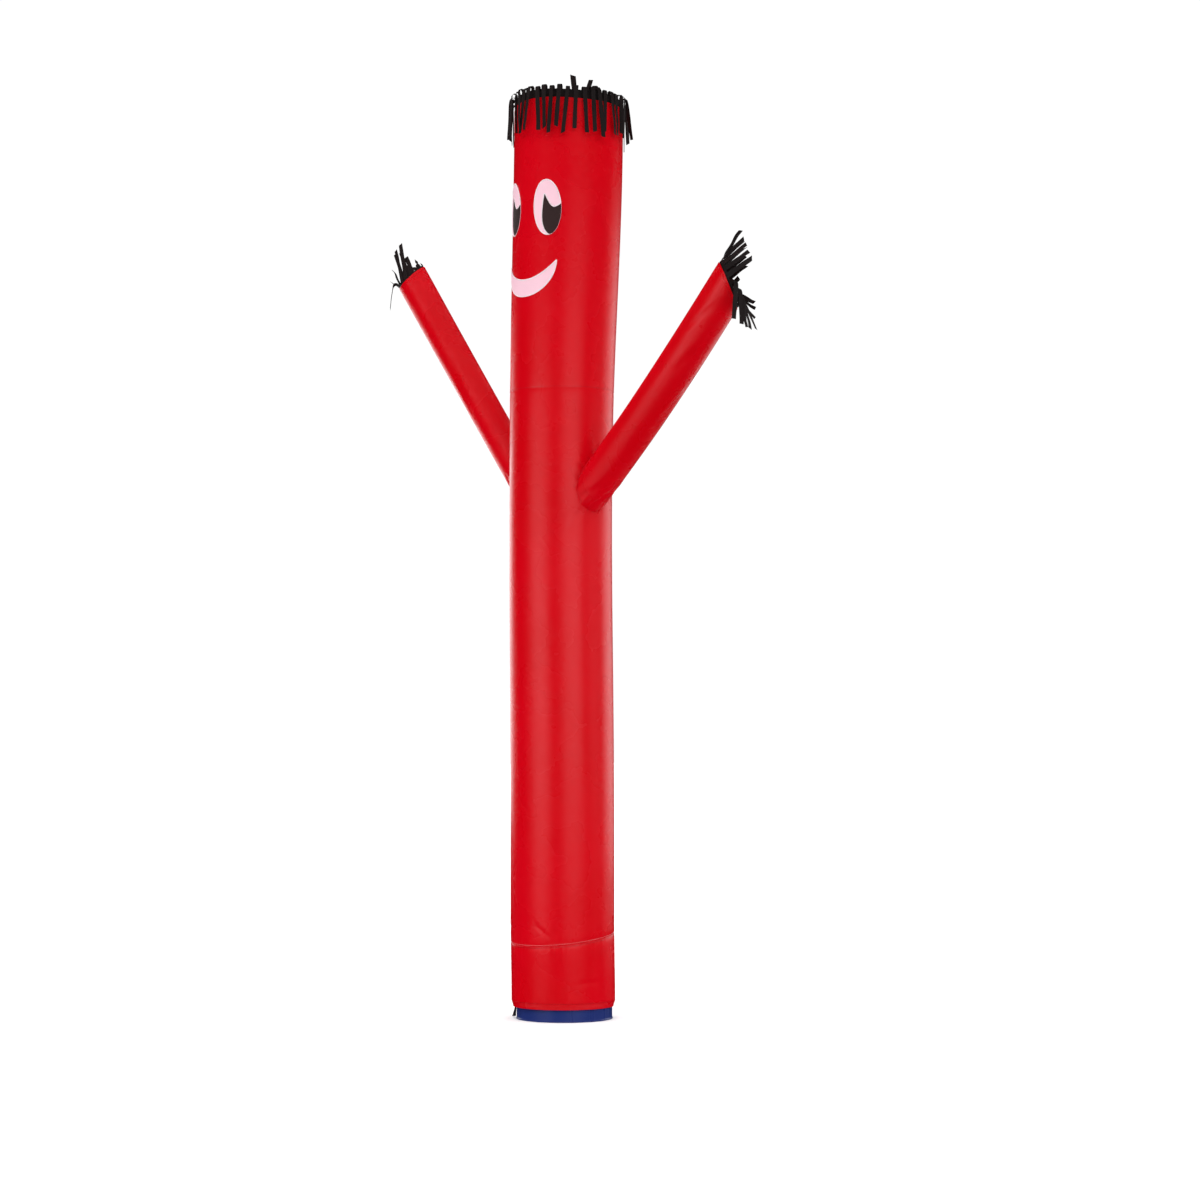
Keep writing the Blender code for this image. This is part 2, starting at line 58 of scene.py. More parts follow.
def addObject(name, data):
    made = bpy.data.objects.new(name, data)
    bpy.context.scene.collection.objects.link(made)
    return made


def makeCamera():
    bearing, pitch, side = np.radians(camera["bearing"]), np.radians(camera["pitch"]), camera["imageSide"]
    (footX, footY), (axisX, axisY) = camera["footPixel"], camera["axisPixel"]
    outward, right = around(bearing), around(bearing + np.pi / 2)
    forward = upright * np.sin(pitch) - outward * np.cos(pitch)
    up = upright * np.cos(pitch) + outward * np.sin(pitch)
    focal = camera["distance"] / camera["metresPerPixel"]  # in pixels
    across, down = (footX - axisX) / focal, (axisY - footY) / focal
    data = bpy.data.cameras.new("camera")
    data.sensor_width, data.lens = camera["sensor"], camera["sensor"] * focal / side
    data.shift_y = (axisY - side / 2) / side
    data.clip_end = camera["farthest"]
    made = addObject("camera", data)
    place = -camera["distance"] * (forward + across * right + down * up)
    made.matrix_world = matrixOf(right, up, -forward, place)
    bpy.context.scene.camera = made


makeCamera()
print("camera placed")

# Shader helpers. A value is a number, a colour or another node's socket


def feed(tree, socket, value):
    if isinstance(value, bpy.types.NodeSocket):
        tree.links.new(value, socket)
    else:
        socket.default_value = value


def calc(tree, operation, *values):  # a Math node
    node = tree.nodes.new("ShaderNodeMath")
    node.operation = operation
    for socket, value in zip(node.inputs, values):
        feed(tree, socket, value)
    return node.outputs[0]


def times(tree, first, second):
    return calc(tree, "MULTIPLY", first, second)


def ramp(tree, value, low, high, toLow=0.0, toHigh=1.0):  # from low..high to toLow..toHigh, on an S curve
    node = tree.nodes.new("ShaderNodeMapRange")
    node.interpolation_type = "SMOOTHSTEP"
    names = ("Value", "From Min", "From Max", "To Min", "To Max")
    for name, number in zip(names, (value, low, high, toLow, toHigh)):
        feed(tree, node.inputs[name], number)
    return node.outputs["Result"]


def blend(tree, share, first, second):  # a colour mix
    node = tree.nodes.new("ShaderNodeMix")
    node.data_type = "RGBA"
    for name, value in (("Factor", share), ("A", first), ("B", second)):
        feed(tree, node.inputs[name], (*value, 1.0) if isinstance(value, tuple) else value)
    return node.outputs["Result"]


def noise(tree, coordinates, scale, detail=2.0, stretch=(1.0, 1.0, 1.0)):
    place = tree.nodes.new("ShaderNodeMapping")
    node = tree.nodes.new("ShaderNodeTexNoise")
    for socket, value in ((place.inputs["Scale"], stretch), (place.inputs["Vector"], coordinates),
                          (node.inputs["Scale"], scale), (node.inputs["Detail"], detail),
                          (node.inputs["Vector"], place.outputs["Vector"])):
        feed(tree, socket, value)
    return node.outputs["Fac"]


def coordinatesOf(tree):  # places in metres, and the cloth's own u and v in metres
    place = tree.nodes.new("ShaderNodeTexCoord").outputs["Object"]
    cloth = tree.nodes.new("ShaderNodeUVMap")
    cloth.uv_map = "cloth"
    apart = tree.nodes.new("ShaderNodeSeparateXYZ")
    tree.links.new(cloth.outputs["UV"], apart.inputs["Vector"])
    return place, apart.outputs["X"], apart.outputs["Y"]


def lines(tree, value, pitch, width):  # 1 on a line at each multiple of the pitch, and 0 past its width
    share = calc(tree, "FRACT", calc(tree, "ADD", calc(tree, "DIVIDE", value, pitch), 0.5))
    away = times(tree, calc(tree, "ABSOLUTE", calc(tree, "SUBTRACT", share, 0.5)), pitch)
    return ramp(tree, away, 0.0, width, 1.0, 0.0)


def threads(tree, u, v, across, along):  # a plain weave: sin(u) times sin(v), from -1 to 1
    waves = [calc(tree, "SINE", times(tree, *pair)) for pair in ((u, fullTurn / across), (v, fullTurn / along))]
    return times(tree, *waves)


def bump(tree, shader, height, metres):
    node = tree.nodes.new("ShaderNodeBump")
    node.inputs["Distance"].default_value = metres
    tree.links.new(height, node.inputs["Height"])
    tree.links.new(node.outputs["Normal"], shader.inputs["Normal"])


def newMaterial(name, look):
    made = bpy.data.materials.new(name)
    made.use_nodes = True
    shader = made.node_tree.nodes["Principled BSDF"]
    usual = dict(sheen=0.0, sheenRoughness=0.4, coat=0.0, coatRoughness=0.1) | look
    for socket, key in (("Roughness", "roughness"), ("Specular IOR Level", "gloss"), ("Sheen Weight", "sheen"),
                        ("Sheen Roughness", "sheenRoughness"), ("Coat Weight", "coat"),
                        ("Coat Roughness", "coatRoughness")):
        shader.inputs[socket].default_value = usual[key]
    return made, made.node_tree, shader


# Coated ripstop nylon. Sizes are in metres; the colour drifts a little over the cloth
redCloth = dict(colour=(0.635, 0.0003, 0.007), deeper=(0.595, 0.0002, 0.0045), roughness=0.27, gloss=0.34,
                squares=0.0052, squareLine=0.00045, weave=0.0007, relief=0.00006)
blackCloth = dict(colour=(0.017, 0.0118, 0.0118), deeper=(0.011, 0.008, 0.0082), roughness=0.55, gloss=0.16,
                  sheen=0.02, squares=0.004, squareLine=0.00045, weave=0.0006, relief=0.00005)
whiteCloth = dict(colour=(0.955, 0.62, 0.715), deeper=(0.93, 0.565, 0.67), roughness=0.42, gloss=0.3,
                  sheen=0.05, squares=0.0046, squareLine=0.0004, weave=0.0006, relief=0.00005)
pupilCloth = dict(colour=(0.03, 0.016, 0.016), deeper=(0.022, 0.012, 0.0125), roughness=0.5, gloss=0.25,
                  sheen=0.08, squares=0.0044, squareLine=0.0004, weave=0.0006, relief=0.00005)
# What every cloth shares: noise scales, the shade of the ripstop lines, and shares of the relief
clothRule = dict(drift=3.2, driftRange=(0.35, 0.7), lineShade=0.16, uneven=60.0, threadShare=0.25,
                 unevenShare=1.2, shine=9.0, shineSpan=(0.2, 0.8), shineRange=(-0.03, 0.04))


def nylon(name, look):
    made, tree, shader = newMaterial(name, look)
    place, u, v = coordinatesOf(tree)
    rule = clothRule
    drift = ramp(tree, noise(tree, place, rule["drift"], 3.0), *rule["driftRange"])
    grid = calc(tree, "MAXIMUM", *(lines(tree, value, look["squares"], look["squareLine"]) for value in (u, v)))
    colour = blend(tree, drift, look["colour"], look["deeper"])
    colour = blend(tree, times(tree, grid, rule["lineShade"]), colour, look["deeper"])
    weave = times(tree, threads(tree, u, v, look["weave"], look["weave"]), rule["threadShare"])
    uneven = times(tree, noise(tree, place, rule["uneven"]), rule["unevenShare"])
    bump(tree, shader, calc(tree, "ADD", calc(tree, "ADD", weave, grid), uneven), look["relief"])
    shine = [*rule["shineSpan"]] + [look["roughness"] + part for part in rule["shineRange"]]
    feed(tree, shader.inputs["Base Color"], colour)
    feed(tree, shader.inputs["Roughness"], ramp(tree, noise(tree, place, rule["shine"], 3.0), *shine))
    return made


threadLook = dict(roughness=0.55, gloss=0.2, sheen=0.02, strands=9000.0, slant=0.6, shade=0.78, relief=0.00004)


def threadMaterial(name, colour):  # sewing thread: a fine twist along its own u
    made, tree, shader = newMaterial(name, threadLook)
    _, u, v = coordinatesOf(tree)
    slanted = calc(tree, "ADD", u, times(tree, v, threadLook["slant"]))
    twist = calc(tree, "SINE", times(tree, slanted, threadLook["strands"]))
    # The twist's grooves are painted darker by the shade share, and its crests keep the full colour: painted
    # shade in the thread's recesses
    shade = tuple(part * threadLook["shade"] for part in colour)
    feed(tree, shader.inputs["Base Color"], blend(tree, ramp(tree, twist, -1.0, 1.0), shade, colour))
    bump(tree, shader, twist, threadLook["relief"])
    return made


redNylon, blackNylon = nylon("redNylon", redCloth), nylon("blackNylon", blackCloth)
whiteNylon, pupilNylon = nylon("whiteNylon", whiteCloth), nylon("pupilNylon", pupilCloth)
# The upper seam row's pale pink thread is partly painted highlight: the stitches are real, but their pale
# colour stands in for the light caught along the seam's ridge
paleThreadPaintedHighlight = threadMaterial("paleThreadPaintedHighlight", (0.95, 0.27, 0.29))
redThread = threadMaterial("redThread", (0.42, 0.004, 0.01))
borderThread = threadMaterial("borderThread", (0.98, 0.84, 0.88))
print("cloth and thread finishes made")

# Mesh helpers. A grid is (rows, columns) of point numbers, places or uvs


def unit(vectors):
    return vectors / np.linalg.norm(vectors, axis=-1, keepdims=True)


def squareTo(forward, across):  # the part of across that is square to forward, made a unit vector
    return unit(across - (across * forward).sum(-1, keepdims=True) * forward)


def distances(line):  # the distance along a line of places to each of them
    return np.concatenate(([0], np.cumsum(np.linalg.norm(np.diff(line, axis=0), axis=1))))


def sampled(at, far, line):  # a line of places read at other distances
    return np.stack([np.interp(at, far, column) for column in line.T], -1)


def roundAngles(count):
    return np.arange(count) * fullTurn / count


def closing(grid, axis=1):  # the grid with its first column, or row, once more at its end
    return np.concatenate((grid, np.take(grid, [0], axis)), axis)


def corners(grid, turned=False):  # the corners of each square of a grid, in order round it
    ring = (grid[:-1, :-1], grid[:-1, 1:], grid[1:, 1:], grid[1:, :-1])
    return np.stack(ring[:1] + ring[:0:-1] if turned else ring, 2)


def walls(grid, far, closed):
    # the squares of a grid, of the one behind it that is far further on, and of the strips between their edges
    def strip(edge, turned):
        return corners(np.stack((edge, edge + far)), turned)

    parts = [corners(grid), corners(grid + far, True), strip(grid[0], True), strip(grid[-1], False)]
    if not closed:
        parts += [strip(grid[:, 0], False), strip(grid[:, -1], True)]
    return np.concatenate([part.reshape(-1, *part.shape[2:]) for part in parts])


sharpFrom = 48  # degrees between two faces


def meshObject(name, points, quads, finish, uvs=(), caps=()):
    # quads and caps are rows of point numbers; uvs has one pair for each corner of the quads
    points, quads, caps = points.reshape(-1, 3), quads.reshape(-1, 4), np.asarray(caps, int)
    counts = np.array([4] * len(quads) + [caps.shape[-1]] * len(caps))
    numbers = np.concatenate((quads.ravel(), caps.ravel()))
    mesh = bpy.data.meshes.new(name)
    mesh.vertices.add(len(points))
    mesh.vertices.foreach_set("co", points.astype(np.float32).ravel())
    mesh.loops.add(len(numbers))
    mesh.loops.foreach_set("vertex_index", numbers.astype(np.int32))
    mesh.polygons.add(len(counts))
    mesh.polygons.foreach_set("loop_start", np.concatenate(([0], np.cumsum(counts)[:-1])).astype(np.int32))
    allUvs, uvs = np.zeros((len(numbers), 2), np.float32), np.reshape(uvs, (-1, 2))
    allUvs[: len(uvs)] = uvs
    mesh.uv_layers.new(name="cloth").data.foreach_set("uv", allUvs.ravel())
    mesh.update(calc_edges=True)
    mesh.validate()
    mesh.shade_smooth()
    mesh.set_sharp_from_angle(angle=np.radians(sharpFrom))
    mesh.materials.append(finish)
    return addObject(name, mesh)


def settled(made, slot, node=None):  # on the only body, and in place of its solid where it has one
    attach(made, "root")
    if node:
        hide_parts(node)
    return made


def shell(name, outer, inner, u, v, finish, closed):
    # a wall between two grids of places. u and v are in metres on the same grid, with one column more where the
    # grid closes on itself. Rows run along the piece and columns to the left of that
    number = np.arange(outer[..., 0].size).reshape(outer.shape[:2])
    quads = walls(closing(number) if closed else number, number.size, closed)
    return meshObject(name, np.stack((outer, inner)), quads, finish, walls(np.stack((u, v), -1), 0, closed))


def strands(middle, across, facing, profile, width, height):
    # closed strands. middle, across and facing are (strands, steps, 3), profile is (sides, 2), and a point is
    # middle + across * profile x * width + facing * profile y * height. across x facing points along the strand
    x, y = profile[:, 0][:, None], profile[:, 1][:, None]
    return (middle[:, :, None] + across[:, :, None] * x * width[..., None, None]
            + facing[:, :, None] * y * height[..., None, None])


def strandFaces(count, steps, sides, start=0):
    number = start + np.arange(count * steps * sides).reshape(count, steps, sides)
    quads = np.concatenate([corners(closing(rows)) for rows in number])
    return quads.reshape(-1, 4), np.concatenate((number[:, 0, ::-1], number[:, -1]))


def strandUvs(along, profile, width):  # u runs across a strand and v along it; along is (strands, steps)
    u = profile[:, 0] * width + 0 * along[..., None]
    uv = np.stack((u, 0 * u + along[..., None]), -1)
    return np.concatenate([corners(closing(rows)) for rows in uv]).reshape(-1, 2)


roundProfile = np.stack((np.cos(np.arange(6) * np.pi / 3), np.sin(np.arange(6) * np.pi / 3)), -1)
# The arch of a stitch: its steps, how far its ends lie below the cloth, as a share of the rise, and how thick
# the thread is at its ends and how much it gains
arch = dict(steps=5, sunk=0.25, least=0.45, gain=0.55)


def stitches(name, line, outward, stitch, finish):
    # a row of sewing stitches along a line of places, each an arch of thread that rises along outward and dips
    # back at both ends: place + outward * rise * (sin(pi t) - sunk), t from 0 to 1 over the stitch
    far = distances(line)
    count = max(int(far[-1] / stitch["pitch"]), 1)
    t = np.linspace(0, 1, arch["steps"])
    high = np.sin(np.pi * t)
    along = np.arange(count)[:, None] + 0.5 + (t[None] - 0.5) * stitch["long"] / stitch["pitch"]
    along = along * far[-1] / count
    out = unit(sampled(along, far, outward))
    middle = sampled(along, far, line) + out * (stitch["rise"] * (high - arch["sunk"]))[None, :, None]
    forward = unit(np.gradient(middle, axis=1))
    side = unit(np.cross(out, forward))
    thick = stitch["thread"] * (arch["least"] + arch["gain"] * high)
    width = np.broadcast_to(thick[None], along.shape)
    points = strands(middle, side, np.cross(forward, side), roundProfile, width, width)
    quads, caps = strandFaces(count, len(t), len(roundProfile))
    made = meshObject(name, points, quads, finish, strandUvs(along, roundProfile, stitch["thread"]), caps)
    return settled(made, "red_nylon")


# The tube's form: a slow curve, a radius that grows at the head, and a sloping seam and rim

tube = dict(radius=0.1512, headExtra=0.0088, headFrom=1.5, headTo=2.55, hem=0.0365, hemDraw=0.005,
            hemDrawRise=0.02, seam=0.236, seamTilt=0.02, seamTiltAt=5.0, rim=2.662, rimTilt=0.013,
            rimTiltAt=30.0, rimWave=0.003, crossSeam=1.83, gap=0.0003, cloth=0.0009)
sway = dict(bearing=48.0, foot=-0.003, low=-0.003, lowOver=0.3, belly=-0.006, bellyAt=1.4, bellyWide=0.5,
            head=0.017, headFrom=1.75, headTo=2.65)
# Arms: the axis leaves the tube's axis at height and rises by so many degrees. Root and tip are radii
arms = dict(
    right=dict(side=1, height=1.423, rise=41.8, length=0.956, root=0.057, tip=0.058, bow=-0.0155, slant=0.053,
               slantAt=78.0, seed=7),
    left=dict(side=-1, height=1.39, rise=50.3, length=1.134, root=0.0485, tip=0.052, bow=-0.0026, slant=0.032,
              slantAt=103.0, seed=4),
)


def smoothStep(value, low, high):  # t * t * (3 - 2t), where t is the share of the way from low to high
    t = np.clip((value - low) / (high - low), 0, 1)
    return t * t * (3 - 2 * t)


def mix(first, second, share):
    return first + (second - first) * share


def tubeCentre(z):  # the sway along one bearing: two S curves and a bell
    bell = np.exp(-(((z - sway["bellyAt"]) / sway["bellyWide"]) ** 2))
    away = sway["foot"] + sway["low"] * smoothStep(z, tube["hem"], sway["lowOver"]) + sway["belly"] * bell
    away = away + sway["head"] * smoothStep(z, sway["headFrom"], sway["headTo"])
    bearing = np.radians(sway["bearing"])
    return np.stack((away * np.cos(bearing), away * np.sin(bearing), z + 0 * away), -1)


def tubeRadius(z):
    drawn = tube["hemDraw"] * (1 - smoothStep(z, tube["hem"], tube["hem"] + tube["hemDrawRise"]))
    return tube["radius"] - drawn + tube["headExtra"] * smoothStep(z, tube["headFrom"], tube["headTo"])


def seamHeight(angle):
    return tube["seam"] - tube["seamTilt"] * np.cos(angle - np.radians(tube["seamTiltAt"]))


def rimHeight(angle):
    return (tube["rim"] + tube["rimTilt"] * np.cos(angle - np.radians(tube["rimTiltAt"]))
            + tube["rimWave"] * np.cos(3 * angle))


def waves(first, second, seed, turns, slow, count=7):
    # a sum of cosines: each of a whole number of turns of first, a slow wave along second, and a phase
    pick = np.random.default_rng(seed)
    total = 0
    for _ in range(count):
        turn, rate = pick.integers(turns[0], turns[1] + 1), pick.uniform(-slow, slow)
        total = total + np.cos(turn * first + fullTurn * rate * second + pick.uniform(0, fullTurn))
    return total / count


def rippled(first, second, ripple, seed=0):
    height, ownSeed, turns, slow = ripple
    return height * waves(first, second, seed + ownSeed, turns, slow)


def groove(off, deep, wide, power):  # -deep * exp(-|off / wide|^power)
    return -deep * np.exp(-np.abs(off / wide) ** power)


def wrapped(angle):  # the same angle, from -pi to pi
    return (angle + np.pi) % fullTurn - np.pi


# Soft creases in the tube: bearing, height, lean from level in degrees, and length, width and depth in metres
tubeCreases = (
    (26, 0.264, -39, 0.07, 0.005, 0.0016), (79, 0.114, 4, 0.07, 0.007, 0.0008),
    (111, 1.521, -38, 0.06, 0.006, 0.0034), (122, 1.64, 34, 0.08, 0.009, 0.002),
    (66, 1.452, 52, 0.075, 0.008, 0.0014), (-60, 1.48, -48, 0.09, 0.0085, 0.002),
    (-120, 1.515, 40, 0.085, 0.008, 0.0024), (-124, 1.7, -36, 0.08, 0.009, 0.0018),
    (205, 0.3, 30, 0.08, 0.008, 0.0016), (150, 0.262, -24, 0.07, 0.007, 0.0014),
    (-38, 0.27, 22, 0.06, 0.006, 0.001), (231, 2.56, 62, 0.09, 0.01, 0.0016),
    (170, 2.3, -70, 0.14, 0.012, 0.0014), (118, 2.52, 70, 0.11, 0.011, 0.0014),
)
creaseRidge = dict(height=0.4, beside=1.9)  # the low ridge beside a crease, as shares of its depth and width


def creased(angle, height, creases, radius):
    # each crease is a trough, -deep * exp(-(off / wide)^2), that fades to its ends, with a ridge beside it
    total = 0
    for at, middle, lean, long, wide, deep in creases:
        x, y, lean = wrapped(angle - np.radians(at)) * radius, height - middle, np.radians(lean)
        along, off = x * np.cos(lean) + y * np.sin(lean), y * np.cos(lean) - x * np.sin(lean)
        fade = np.exp(-((along / (0.5 * long)) ** 4))
        ridge = creaseRidge["height"] * np.exp(-(((off - creaseRidge["beside"] * wide) / wide) ** 2))
        total = total + deep * (-np.exp(-((off / wide) ** 2)) + ridge) * fade
    return total


rootEase = 1.03  # a root's half width, as a share of the arm's radius there


def rootOf(arm):  # where the arm's root lies on the tube: its angle, height, and half its width and height
    rise = np.radians(arm["rise"])
    return dict(at=arm["side"] * np.pi / 2, z=arm["height"] + tube["radius"] * np.tan(rise),
                wide=arm["root"] * rootEase, tall=arm["root"] / np.cos(rise))


gathers = dict(count=17, uneven=1.3, deep=0.0016, drawn=0.0008, reach=0.16, fade=1.2)


def rootPuckers(angle, z, arm):
    # short gathers round the root's oval, cos of 17 turns of the bearing from its middle, fading outward
    root = rootOf(arm)
    x, y = wrapped(angle - root["at"]) * tube["radius"] / root["wide"], (z - root["z"]) / root["tall"]
    out, bearing = np.hypot(x, y), np.arctan2(y, x)
    folds = 0.5 + 0.5 * np.cos(gathers["count"] * bearing + gathers["uneven"] * np.sin(3 * bearing))
    fade = np.exp(-np.maximum(out - 1.0, 0) / gathers["reach"]) * np.exp(-((out - 1) / gathers["fade"]) ** 2)
    return -(gathers["deep"] * folds + gathers["drawn"]) * fade


# Waves: height, seed, fewest and most turns, and how fast they change. Grooves: depth, width, and the power in
# their fall. Rows are how far a row of stitches lies from its edge
relief = dict(slow=(0.0011, 3, (1, 4), 0.9), long=(0.0006, 8, (5, 11), 0.8),
              hemPleat=(0.0013, 5, (19, 41), 3.0), rimRuffle=(0.0016, 12, (9, 23), 1.0),
              pleatRise=0.03, ruffleFall=0.035, hemRow=0.0175, rimRow=0.011, hemGroove=(0.0005, 0.0022, 2),
              seamGroove=(0.0024, 0.005, 1), crossGroove=(0.001, 0.004, 1), rimGroove=(0.0008, 0.0035, 2))
# Puckers beside the sloping seam: how many go round, how they shift along it and how they swell and shrink
puckered = dict(height=0.0007, rise=0.016, count=61, shift=2.0, shifts=5, least=0.6, swell=0.4, swells=7)


def tubeRelief(angle, z):
    # how far the cloth stands off the plain form, in metres outward
    aboveHem, offSeam, belowRim = z - tube["hem"], z - seamHeight(angle), rimHeight(angle) - z
    pleats = rippled(angle, z, relief["hemPleat"]) * np.exp(-aboveHem / relief["pleatRise"])
    puckers = np.cos(puckered["count"] * angle + puckered["shift"] * np.sin(puckered["shifts"] * angle))
    puckers = puckers * (puckered["least"] + puckered["swell"] * np.cos(puckered["swells"] * angle + 1))
    puckers = puckered["height"] * puckers * np.exp(-np.abs(offSeam) / puckered["rise"])
    total = rippled(angle, z, relief["slow"]) + rippled(angle, z, relief["long"]) + pleats
    total = total + groove(aboveHem - relief["hemRow"], *relief["hemGroove"])
    total = total + groove(offSeam, *relief["seamGroove"]) + puckers
    total = total + groove(z - tube["crossSeam"], *relief["crossGroove"])
    total = total + groove(belowRim - relief["rimRow"], *relief["rimGroove"])
    total = total + rippled(angle, z, relief["rimRuffle"]) * np.exp(-belowRim / relief["ruffleFall"])
    total = total + creased(angle, z, tubeCreases, tube["radius"])
    for arm in arms.values():
        total = total + rootPuckers(angle, z, arm)
    return total


def onTube(angle, z, standOff=0.0):
    return tubeCentre(z) + around(angle) * (tubeRadius(z) + tubeRelief(angle, z) + standOff)[..., None]


def crowded(count, places, fine=4001):
    # count + 1 shares from 0 to 1, closer together near each (share, reach, weight) of places
    t = np.linspace(0, 1, fine)
    density = 1 + sum(weight * np.exp(-(((t - at) / reach) ** 2)) for at, reach, weight in places)
    total = np.concatenate(([0], np.cumsum((density[1:] + density[:-1]) / 2)))
    return np.interp(np.linspace(0, total[-1], count + 1), total, t)


# Columns and rows of the tube, and where its rows crowd: a share of the length, the reach and the weight
tubeGrid = dict(columns=252, baseRows=64, bodyRows=166, baseCrowds=((0, 0.1, 2), (1, 0.12, 3)),
                bodyCrowds=((0, 0.02, 9), (1, 0.03, 4)), crossCrowd=(0.008, 7), rootCrowd=(0.045, 1.6))


def lengthOfTube(name, low, high, shares, node):
    # the tube between two heights, each a function of the angle: z = low + (high - low) * share
    columns = tubeGrid["columns"]
    angle, share = np.meshgrid(roundAngles(columns), shares)
    z = mix(low(angle), high(angle), share)
    outer = onTube(angle, z)
    u = np.arange(columns + 1)[None] / columns * fullTurn * tube["radius"] + 0 * shares[:, None]
    made = shell(name, outer, outer - around(angle) * tube["cloth"], u, closing(z), redNylon, closed=True)
    return settled(made, "red_nylon", node)


def makeTube():
    base = lengthOfTube("base_cloth", lambda a: tube["hem"] + 0 * a, lambda a: seamHeight(a) - tube["gap"] / 2,
                        crowded(tubeGrid["baseRows"], tubeGrid["baseCrowds"]), "base_section")
    heights = [(tube["crossSeam"], tubeGrid["crossCrowd"])]
    heights += [(rootOf(arm)["z"], tubeGrid["rootCrowd"]) for arm in arms.values()]
    span = tube["rim"] - tube["seam"]
    places = [*tubeGrid["bodyCrowds"]] + [((z - tube["seam"]) / span, *crowd) for z, crowd in heights]
    body = lengthOfTube("body_cloth", lambda a: seamHeight(a) + tube["gap"] / 2, rimHeight,
                        crowded(tubeGrid["bodyRows"], places), "body_tube")
    return base, body


# Arms. Holes are cut by a closed plug from inside the tube to past its wall: its columns, the reach of its rows
# and their number, and how far it stands off the arm's cloth
armGrid = dict(columns=96, rows=112, cloth=0.0009, start=0.03, farthestRoot=0.36, halvings=26,
               crowds=((0, 0.08, 3), (1, 0.03, 4)))
plugRule = dict(columns=48, reach=(0.05, 0.33, 4), slack=-0.004)


def armAxes(arm):
    rise = np.radians(arm["rise"])
    along = np.array((arm["side"] * np.cos(rise), 0, np.sin(rise)))
    up = np.array((-arm["side"] * np.sin(rise), 0, np.cos(rise)))
    return tubeCentre(np.array(arm["height"])), along, up, np.cross(along, up)


def armLength(arm, angle):  # to the slanted mouth: length + slant * cos(angle - slantAt)
    return arm["length"] + arm["slant"] * np.cos(angle - np.radians(arm["slantAt"]))


def armRing(arm, angle):  # out of the arm: up * cos(angle) + side * sin(angle)
    _, _, up, side = armAxes(arm)
    return up * np.cos(angle)[..., None] + side * np.sin(angle)[..., None]


# Creases in each arm: the angle round it, the distance along it in metres, and the rest as for the tube
armCreases = dict(
    right=(
        (170, 0.19, 64, 0.11, 0.0075, 0.0034), (215, 0.215, 58, 0.09, 0.008, 0.0026),
        (130, 0.205, 70, 0.09, 0.008, 0.002), (10, 0.25, 60, 0.07, 0.007, 0.0014),
        (150, 0.76, 78, 0.18, 0.01, 0.0016), (110, 0.86, 70, 0.12, 0.008, 0.0014),
        (190, 0.56, 82, 0.2, 0.011, 0.0014),
    ),
    left=(
        (185, 0.225, -62, 0.11, 0.008, 0.003), (235, 0.25, 66, 0.09, 0.008, 0.0024),
        (300, 0.28, 74, 0.1, 0.008, 0.0016), (320, 0.9, 80, 0.17, 0.009, 0.0014),
        (270, 0.62, 84, 0.22, 0.01, 0.0012),
    ),
)
armRelief = dict(slow=(0.0009, 0, (1, 3), 1.6), long=(0.0006, 1, (3, 7), 1.2), pleat=(0.002, 2, (9, 19), 2.0),
                 ruffle=(0.0012, 3, (4, 9), 1.0), pleatReach=0.05, ruffleReach=0.03, hemRow=0.01,
                 hemGroove=(0.0006, 0.003, 2))


def armSurface(name, angle, distance, standOff=0.0):
    # base + along * distance + ring * radius, with a bow, and pleats that fade away from the root
    arm = arms[name]
    base, along, up, _ = armAxes(arm)
    share = (distance - armGrid["start"]) / (armLength(arm, angle) - armGrid["start"])
    slow, long, pleats, ruffle = (rippled(angle, distance, armRelief[word], arm["seed"])
                                  for word in ("slow", "long", "pleat", "ruffle"))
    fromRoot = distance - tube["radius"] / np.cos(np.radians(arm["rise"]))
    below = armLength(arm, angle) - distance
    total = slow + long + pleats * np.exp(-np.maximum(fromRoot, 0) / armRelief["pleatReach"])
    total = total + groove(below - armRelief["hemRow"], *armRelief["hemGroove"])
    total = total + ruffle * np.exp(-np.maximum(below, 0) / armRelief["ruffleReach"])
    total = total + creased(angle, distance, armCreases[name], arm["root"])
    radius, lift = mix(arm["root"], arm["tip"], share), arm["bow"] * np.sin(np.pi * share)
    return (base + along * distance[..., None] + up * lift[..., None]
            + armRing(arm, angle) * (radius + total + standOff)[..., None])


def armRootDistance(name, angle):
    # where each line along the arm comes out of the tube's cloth, halving the stretch it must lie in
    low, high = np.full_like(angle, armGrid["start"]), np.full_like(angle, armGrid["farthestRoot"])
    for _ in range(armGrid["halvings"]):
        middle = (low + high) / 2
        point = armSurface(name, angle, middle)
        x, y, _ = np.moveaxis(point - tubeCentre(point[..., 2]), -1, 0)
        z = point[..., 2]
        inside = np.hypot(x, y) < tubeRadius(z) + tubeRelief(np.arctan2(x, -y), z) + tube["gap"]
        low, high = np.where(inside, middle, low), np.where(inside, high, middle)
    return high


def makeArm(name):
    columns = armGrid["columns"]
    shares = crowded(armGrid["rows"], armGrid["crowds"])
    angle, share = np.meshgrid(roundAngles(columns), shares)
    first = armRootDistance(name, angle[0])
    distance = mix(first[None], armLength(arms[name], angle), share)
    outer = armSurface(name, angle, distance)
    inner = outer - armRing(arms[name], angle) * armGrid["cloth"]
    u = np.arange(columns + 1)[None] / columns * fullTurn * arms[name]["root"] + 0 * shares[:, None]
    made = shell("sleeve_" + name, outer, inner, u, closing(distance), redNylon, closed=True)
    return settled(made, "red_nylon", "arm_" + name)


